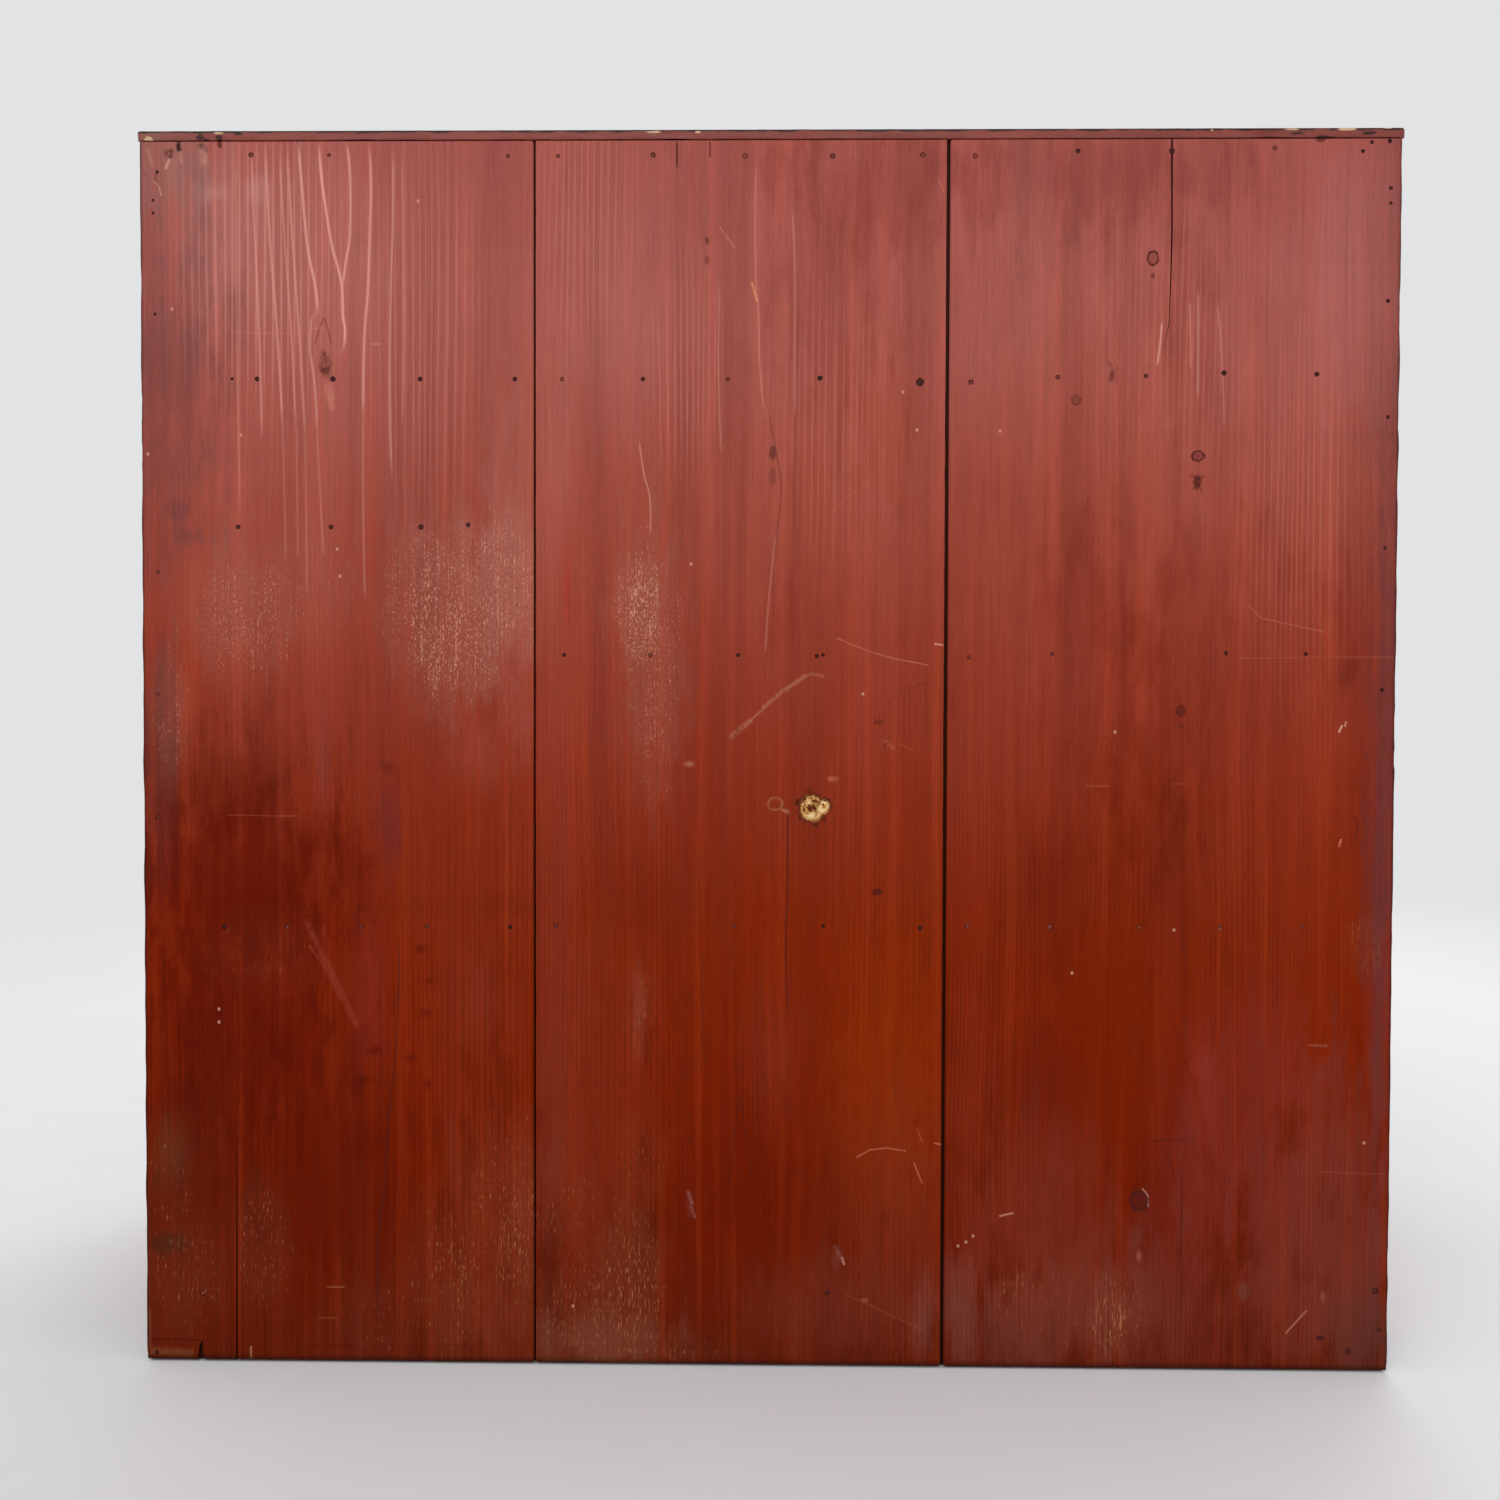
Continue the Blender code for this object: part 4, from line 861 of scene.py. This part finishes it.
def backBoard(node):
    plan = backBoards[node]
    shape = solidOf(node)
    soften(shape, backEdge["round"] * mm)
    slices(shape, 2, backEdge["step"] * mm)
    low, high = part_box(node)
    for vert in shape.verts:
        for outward, rim in ((1, high.x), (-1, low.x)):
            if abs(vert.co.x - rim) < backEdge["rim"] * mm and abs(rim) > 0.4:  # only the chest's own corners
                ripple = max(0.0, 0.5 + noise.noise(Vector((plan["seed"], vert.co.z * 35, 0.0))))
                sink = max(0.0, 1.0 - (vert.co.z - low.z) / (backEdge["foot"] * mm))
                rounded = (1.0 - math.sqrt(1.0 - sink * sink)) * backEdge["lift"] * mm
                bite = edgeBite(vert.co, outward) + ripple * backEdge["ripple"] * mm + rounded
                vert.co.x -= outward * bite
    wearEdges(shape, backEdge["wear"] * mm, 130.0, plan["seed"])
    return meshPiece("worn_" + node, shape, backLook(node, plan), "case", [node])


def pegRing(shape, spot, reaches, near, far):
    outline = []
    for turn, reach in enumerate(reaches):
        angle = math.tau * turn / len(reaches)
        outline.append((spot[0] + reach * math.cos(angle), spot[1] + reach * math.sin(angle)))
    prism(shape, outline, near, far)


gouge = {"deep": 2.4, "proud": 0.6, "bulge": 0.30, "lumps": 2.3}


def gougeOut(shape):
    px, py, wide, tall = middleBack["chip"][0]
    x, z = onBack(px, py)
    for vert in bmesh.ops.create_icosphere(shape, subdivisions=3, radius=1.0)["verts"]:
        bulge = 1.0 + gouge["bulge"] * noise.noise(vert.co * gouge["lumps"])
        vert.co = Vector((
            x + vert.co.x * wide * pixel * bulge,
            backY + vert.co.y * gouge["deep"] * mm * bulge + gouge["proud"] * mm,
            z + vert.co.z * tall * pixel * bulge,
        ))


def pegsAndSplits(pieces):
    draw = random.Random(5)
    heads = {style: bmesh.new() for style in ("open", "flush")}
    cutters = {node: bmesh.new() for node in pieces}
    wedges = {node: bmesh.new() for node in pieces}
    for style, shape in heads.items():
        for px, py, size in pegs[style]["spots"]:
            spot, radius = onBack(px, py), size * pegs["fit"] * mm
            sink = draw.uniform(*pegs[style]["sink"]) * mm
            torn = [radius * draw.uniform(*pegs["torn"]) for turn in range(pegs["holeSides"])]
            pegRing(cutters[boardOf(spot)], spot, torn, backY + mm, backY - pegs["depth"] * mm)
            nudged = [at + draw.uniform(*reach) * mm for at, reach in zip(spot, pegs["nudge"])]
            whole = [radius - pegs["slack"] * mm] * pegs["headSides"]
            pegRing(shape, nudged, whole, backY - sink, backY - (pegs["depth"] - 0.1) * mm)
    for split in splits:
        spots = [onBack(*spot) for spot in split["path"]]
        sides = [(x - wide * mm / 2, z) for (x, z), wide in zip(spots, split["wide"])]
        sides += [(x + wide * mm / 2, z) for (x, z), wide in reversed(list(zip(spots, split["wide"])))]
        prism(wedges[boardOf(spots[1])], sides, backY + mm, backY - split["depth"] * mm)
    gougeOut(wedges["back_board_middle"])
    for node, piece in pieces.items():
        cutAway(piece, cutters[node])
        cutAway(piece, wedges[node])
    return heads


def ironLook(name, base, rust):
    look, place = newLook(name)
    patches = cloud(stretch(place, (55.0, 55.0, 55.0), 2.0), 4.0, 0.6)
    hammer = cloud(stretch(place, (240.0, 240.0, 240.0), 5.0), 2.0, 0.5)
    colour = tint(spread(patches, 0.48, 0.70), base, rust)
    settings = {
        "Base Color": colour,
        "Metallic": spread(patches, 0.75, 0.45, 0.45, 0.92),
        "Roughness": spread(patches, 0.35, 0.70, 0.36, 0.66),
    }
    return surface(look, place, settings, hammer, 0.5 * mm)


def woodTones(*hues):
    return dict(zip(("low", "high", "line", "grime", "pale"), (tone(*hue) for hue in hues)))


tones = {
    "case": woodTones((108, 34, 18), (138, 54, 36), (78, 24, 14), (56, 22, 12), (192, 132, 98)),
    "front": woodTones((92, 28, 15), (122, 45, 27), (58, 17, 10), (36, 14, 9), (168, 104, 70)),
    "bare": woodTones((178, 138, 94), (202, 164, 118), (146, 104, 66), (120, 86, 56), (216, 186, 144)),
    "peg": woodTones((46, 17, 14), (78, 31, 25), (36, 14, 12), (30, 12, 11), (150, 92, 74)),
    "flushPeg": woodTones((104, 42, 34), (128, 58, 46), (84, 34, 28), (70, 28, 22), (150, 96, 76)),
}

# The top board's rear edge: where it starts, in metres, and its chips by their pixels, the dark ones with
# painted shade in their hollows, and the pale ones.
topLip = {
    "rear": (0.2120, 0.2185),
    "ends": (0.30, 0.44),
    "corner": (0.40, 0.45),
    "arris": (0.8934, 0.8950),
    "rust": (0.8905, 0.8935),
    "dark": [
        (200, 137, 4, 5), (219, 139, 3.5, 4), (206, 141, 5, 2.5), (1321, 137, 9, 3), (1331, 139, 6, 3),
        (238, 134, 5, 2), (1296, 133, 10, 2), (1368, 133, 8, 2),
    ],
    "pale": [
        (1294, 129, 7, 1.6), (1347, 129, 9, 1.8), (1388, 127, 6, 1.8), (655, 132, 8, 1.4), (698, 132, 4, 1.4),
        (1212, 130, 2, 1.4), (218, 133, 6, 1.2), (148, 139, 5, 3),
    ],
    "hues": {"dark": tone(34, 18, 16), "pale": tone(214, 178, 140)},
}


def woodPlan(hues, axes, heart, pitch, seed, lines, **more):
    return {"tones": hues, "axes": axes, "heart": heart, "pitch": pitch, "seed": seed, "lines": lines, **more}


def drawerPlan(heart, pitch, seed, board, hands):
    return woodPlan("front", level, heart, pitch, seed, 0.6, board=board, hands=hands, inside=True)


def doorPlan(heart, pitch, seed, board, hand):
    return woodPlan("front", upright, heart, pitch, seed, 0.6, board=board, hands=[hand])


# Axes of a board: along the grain, across it, through its thickness. The heart is the log's middle: its place
# across the board, its depth behind the face and its tilt along the grain. Then come the distance of the
# rings in mm, the seed and the strength of the lines; hands are where the front is darkened by use.
level, upright, deep, sideways, flat = (0, 2, 1), (2, 0, 1), (1, 0, 2), (2, 1, 0), (0, 1, 2)
boardLooks = {
    "caseUpright": woodPlan("case", upright, (0.9, 0.02, 0.05), 5.0, 31.0, 0.35),
    "caseLevel": woodPlan("case", level, (1.4, 0.02, 0.03), 5.0, 41.0, 0.35),
    "sideLeft": woodPlan(
        "case", sideways, (0.06, 0.050, 0.10), 6.0, 43.0, 0.42, faded=True, board="side_board_left"
    ),
    "sideRight": woodPlan(
        "case", sideways, (-0.04, 0.035, 0.13), 5.4, 47.0, 0.42, faded=True, board="side_board_right"
    ),
    "topBoard": woodPlan(
        "case", flat, (0.03, 0.060, 0.05), 6.2, 37.0, 0.40,
        faded=True, board="top_board", sway=0.9, lip=topLip,
    ),
    "apron": woodPlan("front", level, (0.3, 0.02, 0.02), 5.0, 51.0, 0.5, board="apron"),
    "topDrawer": drawerPlan(
        (0.786, 0.050, 0.085), 5.6, 53.0, "top_drawer_front", [(-0.2315, 0.790), (0.2315, 0.790)]
    ),
    "upperDrawer": drawerPlan(
        (0.648, 0.055, -0.11), 5.2, 55.0, "upper_drawer_front", [(-0.2915, 0.609), (0.029, 0.609)]
    ),
    "lowerDrawer": drawerPlan(
        (0.402, 0.040, 0.12), 5.8, 57.0, "lower_drawer_front", [(-0.2915, 0.410), (0.029, 0.410)]
    ),
    "smallDrawer": drawerPlan((0.640, 0.045, 0.14), 4.8, 58.0, "small_drawer_front", [(0.31325, 0.661)]),
    "safeDoor": doorPlan((0.335, 0.055, 0.12), 5.0, 59.0, "safe_door_panel", (0.2255, 0.455)),
    "cleat": woodPlan("front", level, (0.9, 0.02, 0.03), 4.6, 60.0, 0.5),
    "leftSlider": doorPlan((-0.19, 0.060, 0.22), 5.4, 62.0, "sliding_door_left", (-0.3837, 0.18575)),
    "rightSlider": doorPlan((0.24, 0.055, -0.20), 5.8, 64.0, "sliding_door_right", (0.3837, 0.18575)),
    "bareLevel": woodPlan("bare", level, (1.2, 0.02, 0.03), 6.0, 61.0, 0.35),
    "bareDeep": woodPlan("bare", deep, (1.2, 0.02, 0.03), 6.0, 67.0, 0.35),
    "peg": woodPlan("peg", deep, (1.2, 0.02, 0.03), 3.0, 71.0, 0.2),
    "flushPeg": woodPlan("flushPeg", deep, (1.2, 0.02, 0.03), 3.0, 73.0, 0.2),
}


def arrisGap(axes, box):
    middle, half = (box[0] + box[1]) / 2, (box[1] - box[0]) / 2
    x, y, z = (half[axis] - abs(axes[axis] - middle[axis]) for axis in range(3))
    least, most = x.maths("MINIMUM", x, y), x.maths("MAXIMUM", x, y)
    return least.maths("MAXIMUM", least, most.maths("MINIMUM", most, z))


def woodLook(name, plan):
    look, place = newLook(name)
    seed, hues = plan["seed"], tones[plan["tones"]]
    axes = [part(place, axis) for axis in range(3)]
    run, across, through = (axes[index] for index in plan["axes"])
    grain = join(across, through, run)
    broad = cloud(stretch(grain, (22.0, 22.0, 1.3), seed), 3.0, 0.55)
    bands = cloud(stretch(grain, (110.0, 110.0, 2.2), seed + 4), 2.0, 0.5)
    fibre = cloud(stretch(grain, (620.0, 620.0, 14.0), seed + 8), 3.0, 0.65)
    mottle = cloud(stretch(grain, (62.0, 62.0, 20.0), seed + 14), 5.0, 0.68)
    speckle = cloud(stretch(grain, (820.0, 820.0, 330.0), seed + 12), 2.5, 0.65)
    haze = cloud(stretch(place, (7.0, 7.0, 5.0), seed + 2), 4.0, 0.6)
    sway = cloud(stretch(grain, (7.0, 7.0, plan.get("sway", 2.4)), seed + 5), 3.0, 0.55) - 0.5
    middle, behind, tilt = plan["heart"]
    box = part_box(plan["board"]) if "board" in plan else None
    face = (box[0] if plan["axes"][2] == 1 else box[1])[plan["axes"][2]] if box else 0.0
    depth = abs(through - face) + run * tilt + sway * 0.05 + behind
    fromHeart = join(across + (sway * 0.07 - middle), depth, 0.0)
    rings = vectors(place, "LENGTH", (fromHeart,), 1) * (1000.0 / plan["pitch"])
    rings = rings + cloud(stretch(grain, (70.0, 70.0, 3.0), seed + 6)) * 1.2
    saw = rings.maths("FRACT", rings)
    late = spread(saw, 0.30, 0.90) * spread(saw, 1.0, 0.92)
    grimy = 0.5
    # these boards take the back's colour by height: partly faded and partly a painted sheen, paler towards
    # the top
    if "faded" in plan:
        colour = ramp(axes[2] / stain["top"] + (haze - 0.5) * 0.18 + (broad - 0.5) * 0.14, stain["stainAndSheen"])
        hues = {**hues, "line": scaled(colour, 0.55), "grime": scaled(colour, 0.45)}
        grimy = 0.34
    else:
        colour = tint(spread(broad * 0.7 + haze * 0.3, 0.34, 0.66), hues["low"], hues["high"])
    colour = tint(late * spread(mottle, 0.25, 0.70, 0.6 * plan["lines"], plan["lines"]), colour, hues["line"])
    bare = 0.0
    if "inside" in plan:
        bare = spread(axes[1], box[1].y - 1.4 * mm, box[1].y - 1.0 * mm)
        colour = tint(bare, colour, tint(late * 0.5, tones["bare"]["low"], tones["bare"]["line"]))
    glow = broad * 0.26 + bands * 0.30 + fibre * 0.44 + mottle * 0.36 + speckle * 0.20 + 0.22
    colour = scaled(colour, glow)
    colour = tint(spread(mottle + haze * 0.5, 0.72, 0.96, 0.0, grimy), colour, hues["grime"])
    for at in plan.get("hands", ()):
        rim = ovalAt(place, at, (0.085, 0.060)) + (mottle * 1.6 + haze * 0.8 - 1.2)
        colour = tint(spread(rim, 1.2, 0.2, 0.0, 0.5) * (1.0 - bare), colour, hues["grime"])
    worn = spread(speckle + mottle * 0.45 + haze * 0.30, 0.98, 1.12, 0.0, 0.32)
    if box:
        gap = arrisGap(axes, box)
        # darker within about 16 mm of the board's edges
        darkening = spread(gap + (mottle - 0.5) * 0.05, 0.016, 0.0, 0.0, 0.55)
        colour = tint(darkening, colour, hues["grime"])
        chafed = spread(gap + (speckle + mottle - 1.0) * 0.006, 0.0022, 0.0004, 0.0, 0.6)
        worn = worn.maths("MAXIMUM", worn, chafed)
    if "faded" in plan:
        patch = spread(haze + mottle * 0.5, 0.74, 1.0)
        rubbed = spread(speckle + fibre * 0.40 + patch * 0.30, 0.98, 1.14, 0.0, 0.5)
        worn = worn.maths("MAXIMUM", worn, rubbed * spread(patch, 0.02, 0.4))
    if "lip" in plan:
        lip = plan["lip"]
        chips = cloud(stretch(place, (70.0, 200.0, 300.0), 7.0), 2.0, 0.6)
        rear = spread(axes[1], *lip["rear"])
        ends = spread(abs(axes[0]), *lip["ends"], 0.35, 1.0)
        colour = tint(rear * 0.50, colour, tone(122, 54, 44))
        colour = tint(rear * spread(axes[0], *lip["corner"], 0.0, 0.6), colour, tone(136, 92, 74))
        # a painted shade line along the chipped top arris
        arris = spread(axes[2] + (chips - 0.5) * 0.006, *lip["arris"], 0.0, 0.95)
        colour = tint(arris * rear, colour, tone(26, 17, 16))
        rust = spread(axes[2], *lip["rust"]) * spread(chips, 0.60, 0.70, 0.0, 0.7) * ends
        colour = tint(rust * rear, colour, tone(150, 100, 70))
        # dark chips with painted shade in their hollows, and pale chips
        for shade, hue in lip["hues"].items():
            for spot in lip[shade]:
                rim = oval(place, *spot) + (chips - 0.5) * 2.2
                colour = tint(spread(rim, 1.1, 0.6, 0.0, 0.85) * rear, colour, hue)
        worn = worn * (1.0 - rear)
    colour = tint(worn, colour, hues["pale"])
    coat = {"front": 0.30, "case": 0.10}.get(plan["tones"], 0.0)  # lacquered, stained, bare
    settings = {
        "Base Color": colour,
        "Roughness": broad * 0.25 + mottle * 0.25 + worn * 0.2 + (0.16 if coat > 0.2 else 0.28),
        "Specular IOR Level": 0.16,
        "Coat Weight": coat,
        "Coat Roughness": 0.26,
    }
    return surface(look, place, settings, fibre * 0.6 + late * 0.3, 0.35 * mm)


looks = {name: woodLook(name, plan) for name, plan in boardLooks.items()}
looks["iron"] = ironLook("iron", tone(62, 58, 56), tone(78, 52, 38))
print("looks made")

boards = {node: backBoard(node) for node in backBoards}
heads = pegsAndSplits(boards)
meshPiece("sunkPegs", heads["open"], looks["peg"], "case")
meshPiece("flushPegs", heads["flush"], looks["flushPeg"], "case")
print("back boards made")

# Boards with rounded, knocked edges: the look, the axis of the grain and how far the edges are worn, in mm.
caseBoards = {
    "top_board": ("topBoard", 0, 0.9),
    "side_board_left": ("sideLeft", 2, 0.5),
    "side_board_right": ("sideRight", 2, 0.5),
    "shelf_upper": ("caseLevel", 0, 0.35),
    "shelf_lower": ("caseLevel", 0, 0.35),
    "shelf_left": ("caseLevel", 0, 0.35),
    "shelf_right": ("caseLevel", 0, 0.35),
    "bottom_board": ("caseLevel", 0, 0.35),
    "divider": ("caseUpright", 2, 0.35),
    "apron": ("apron", 0, 0.35),
    "top_drawer_front": ("topDrawer", 0, 0.35),
    "upper_drawer_front": ("upperDrawer", 0, 0.35),
    "lower_drawer_front": ("lowerDrawer", 0, 0.35),
    "small_drawer_front": ("smallDrawer", 0, 0.35),
    "safe_door_panel": ("safeDoor", 2, 0.3),
    "safe_door_cleat_upper": ("cleat", 0, 0.3),
    "safe_door_cleat_lower": ("cleat", 0, 0.3),
    "sliding_door_left": ("leftSlider", 2, 0.3),
    "sliding_door_right": ("rightSlider", 2, 0.3),
}


caseEdge = {"round": 0.8, "step": 6.0}


def caseBoard(node):
    look, axis, wear = caseBoards[node]
    shape = solidOf(node)
    soften(shape, caseEdge["round"] * mm)
    slices(shape, axis, caseEdge["step"] * mm)
    wearEdges(shape, wear * mm, 110.0, len(node))
    slot = "lacquered_front" if boardLooks[look]["tones"] == "front" else "stained_cedar"
    meshPiece("worn_" + node, shape, looks[look], nodes[node]["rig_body"], [node])


for node in caseBoards:
    caseBoard(node)
print("case boards made")

# Bails forged from round bar, thickest at the grip and curled up at the tips; all lengths in mm.
bailShapes = {
    "large": {"spacing": 104.0, "drop": 44.0},
    "small": {"spacing": 74.0, "drop": 34.0},
}
bailBar = {
    "grip": 4.2,
    "arm": 3.2,
    "end": 2.6,
    "tip": 1.6,
    "corner": 13.0,
    "shoulder": 6.0,
    "curl": 3.0,
    "eye": 5.0,
    "margin": 3.5,
    "sides": 14,
    "hammer": 0.035,
}


def arc(middle, radius, start, end, steps):
    turns = [math.radians(start + (end - start) * step / steps) for step in range(1, steps + 1)]
    return [(middle[0] + radius * math.cos(turn), middle[1] + radius * math.sin(turn)) for turn in turns]


def taper(path, start, end):
    steps = len(path)
    return [(x, z, start + (end - start) * (step + 1) / steps) for step, (x, z) in enumerate(path)]


def bailPath(spacing, drop):
    bar = bailBar
    tipX = spacing / 2 + bar["eye"] / 2 + bar["margin"]
    armX = spacing / 2 - bar["eye"] / 2 - bar["shoulder"]
    cornerX = armX - bar["corner"]
    half = [(cornerX * share, -drop, bar["grip"]) for share in (0.15, 0.4, 0.7, 1.0)]
    half += taper(arc((cornerX, bar["corner"] - drop), bar["corner"], -90, 0, 10), bar["grip"], bar["arm"])
    half.append((armX, -bar["shoulder"] * 1.8, bar["arm"] * 0.9))
    elbow = arc((armX + bar["shoulder"], -bar["shoulder"]), bar["shoulder"], 180, 90, 7)
    half += [(x, z, bar["end"]) for x, z in elbow]
    half.append((tipX, 0.0, bar["end"]))
    half += taper(arc((tipX, bar["curl"]), bar["curl"], -90, 120, 10), bar["end"], bar["tip"])
    return [(-x, z, radius) for x, z, radius in reversed(half)] + half


def sweep(path, origin):
    shape = bmesh.new()
    rings = []
    for index, (x, z, radius) in enumerate(path):
        before, after = path[max(index - 1, 0)], path[min(index + 1, len(path) - 1)]
        ahead = Vector((after[0] - before[0], 0.0, after[1] - before[1])).normalized()
        outward = Vector((-ahead.z, 0.0, ahead.x))
        middle = Vector((x, 0.0, z))
        ring = []
        for turn in range(bailBar["sides"]):
            angle = math.tau * turn / bailBar["sides"]
            dents = bailBar["hammer"] * noise.noise(Vector((x * 0.16, angle, z * 0.16)))
            hammered = radius * (1.0 + dents - 0.02)
            reach = outward * (math.cos(angle) * hammered) + Vector((0.0, math.sin(angle) * hammered, 0.0))
            ring.append(shape.verts.new(origin + (middle + reach) * mm))
        rings.append(ring)
    skin(shape, rings)
    return shape


# Iron plates keep their outline, with filed edges, and are held by hand-made nails.
nails = {
    "radius": 2.6,
    "height": 1.5,
    "sides": 12,
    "rows": ((1.0, 0.0), (0.86, 0.55), (0.55, 0.86), (0.22, 0.98)),
    "front": -203.55,  # the face that the plates and hinge leaves lie on
    "plate": 1.8,
    "leaf": 1.5,
    "ringPlate": (18.2, (0.785, 2.356, 3.927, 5.498)),
    "caseLeaf": (4.2, (-17.0, 0.0, 17.0)),
    "doorLeaf": ((6.0, -17.0), (6.0, 17.0), (19.0, 0.0), (32.0, -17.0), (32.0, 17.0)),
    "filed": 0.25,
}


def addNail(shape, at, draw):
    size = nails["radius"] * draw.uniform(0.9, 1.08) * mm
    lean = draw.uniform(0.0, math.tau)
    rings = []
    for wide, tall in nails["rows"]:
        ring = []
        for turn in range(nails["sides"]):
            angle = lean + math.tau * turn / nails["sides"]
            reach = size * wide * (1.0 + 0.07 * math.sin(3 * angle + lean))
            x, z = at.x + reach * math.cos(angle), at.z + reach * math.sin(angle)
            ring.append(shape.verts.new((x, at.y - tall * nails["height"] * mm, z)))
        rings.append(ring)
    skin(shape, rings)


def plateSpots(node):
    low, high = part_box(node)
    middle = (low + high) / 2
    if "ring" in node:
        reach, turns = nails["ringPlate"]
        rounds = [(math.cos(turn) * reach * mm, math.sin(turn) * reach * mm) for turn in turns]
        return [(middle.x + x, middle.z + z) for x, z in rounds]
    if "case_leaf" in node:
        inset, rises = nails["caseLeaf"]
        return [(high.x - inset * mm, middle.z + rise * mm) for rise in rises]
    if "door_leaf" in node:
        return [(low.x + side * mm, middle.z + rise * mm) for side, rise in nails["doorLeaf"]]
    radius = (high.z - low.z) / 2
    eye = (high.x - low.x) / 2 - radius
    up, inner = radius * 0.66, eye - radius - 9 * mm
    spots = [(eye + radius * 0.64, 0.0), (eye, up), (eye, -up), (inner, 0.0)]
    return [(middle.x + side * x, middle.z + z) for x, z in spots for side in (1, -1)]


def hardware():
    draw = random.Random(9)
    heads = {}
    for node in nodes:
        body = nodes[node]["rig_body"]
        if "bail" in node:
            low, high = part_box(node)
            kind = bailShapes["small" if "small" in node else "large"]
            middle = (low + high) / 2
            origin = Vector((middle.x, middle.y, low.z + (kind["drop"] + bailBar["grip"]) * mm))
            piece = sweep(bailPath(kind["spacing"], kind["drop"]), origin)
            meshPiece("forged_" + node, piece, looks["iron"], body, [node])
        elif "plate" in node or "leaf" in node:
            shape = solidOf(node)
            soften(shape, nails["filed"] * mm)
            meshPiece("filed_" + node, shape, looks["iron"], body, [node])
            face = nails["front"] * mm - nails["plate" if "plate" in node else "leaf"] * mm
            for x, z in plateSpots(node):
                addNail(heads.setdefault(body, bmesh.new()), Vector((x, face, z)), draw)
    for body, shape in heads.items():
        meshPiece("nails_" + body, shape, looks["iron"], body)


hardware()
print("hardware made")


def plainLook(node):
    if "plate" in node or "bail" in node or "leaf" in node or "ring" in node:
        return "iron"
    if "drawer" in node and "front" not in node:
        return "bareDeep" if "side" in node or "bottom" in node else "bareLevel"
    return caseBoards[node][0] if node in caseBoards else "caseUpright"


for name, thing in nodes.items():
    thing.data.materials.clear()
    thing.data.materials.append(looks[plainLook(name)])

# The studio: a pale floor that fades into a pale surround, a broad soft lamp and an even fill.
studio = {
    "floor": tone(234, 235, 237),
    "reach": 6.0,
    "fade": (1.0, 3.4),
    "sky": tone(226, 227, 228),
    "fill": 0.72,
    "lamps": [
        {"place": (0.6, 3.4, 3.2), "aim": (0.0, 0.2, 0.5), "size": 3.0, "power": 60.0},
        {"place": (-1.2, -3.2, 3.0), "aim": (0.0, -0.2, 0.5), "size": 3.0, "power": 60.0},
    ],
}


def setStudio():
    mesh = bpy.data.meshes.new("floor")
    reach = studio["reach"]
    corners = [(-reach, -reach, 0), (reach, -reach, 0), (reach, reach, 0), (-reach, reach, 0)]
    mesh.from_pydata(corners, [], [(0, 1, 2, 3)])
    floor = bpy.data.objects.new("floor", mesh)
    bpy.context.collection.objects.link(floor)
    look, place = newLook("floorLook")
    patches = cloud(stretch(place, (2.2, 2.2, 2.2)), 4.0, 0.6)
    colour = scaled(studio["floor"][:3], (patches - 0.5) * 0.10 + 1.0)
    settings = {"Base Color": colour, "Roughness": 0.75, "Specular IOR Level": 0.1}
    shader = place.make("ShaderNodeBsdfPrincipled", {}, settings)
    clear = place.make("ShaderNodeBsdfTransparent", {}, {})
    far = spread(vectors(place, "LENGTH", (place,), 1), *studio["fade"])
    faded = place.make("ShaderNodeMixShader", {}, {0: far, 1: shader, 2: clear})
    place.make("ShaderNodeOutputMaterial", {}, {0: faded})
    mesh.materials.append(look)
    for plan in studio["lamps"]:
        lamp = bpy.data.objects.new("lamp", bpy.data.lights.new("lamp", "AREA"))
        lamp.data.size = plan["size"]
        lamp.data.energy = plan["power"]
        bpy.context.collection.objects.link(lamp)
        lamp.location = plan["place"]
        aim = Vector(plan["aim"]) - lamp.location
        lamp.rotation_euler = aim.to_track_quat("-Z", "Y").to_euler()
    world = bpy.data.worlds.new("world")
    bpy.context.scene.world = world
    world.use_nodes = True
    world.node_tree.nodes.clear()
    path = world.node_tree.nodes.new("ShaderNodeLightPath")
    kinds = ("Is Camera Ray", "Is Glossy Ray", "Is Transmission Ray")
    seen, glossy, through = (Socket(world.node_tree, path.outputs[kind]) for kind in kinds)
    seen = seen.maths("MAXIMUM", seen, glossy.maths("MAXIMUM", glossy, through))
    colour = tint(seen, (1.0, 1.0, 1.0, 1.0), studio["sky"])
    strength = seen * (1.0 - studio["fill"]) + studio["fill"]
    backdrop = seen.make("ShaderNodeBackground", {}, {0: colour, 1: strength})
    seen.make("ShaderNodeOutputWorld", {}, {0: backdrop})


setStudio()
print("studio set")
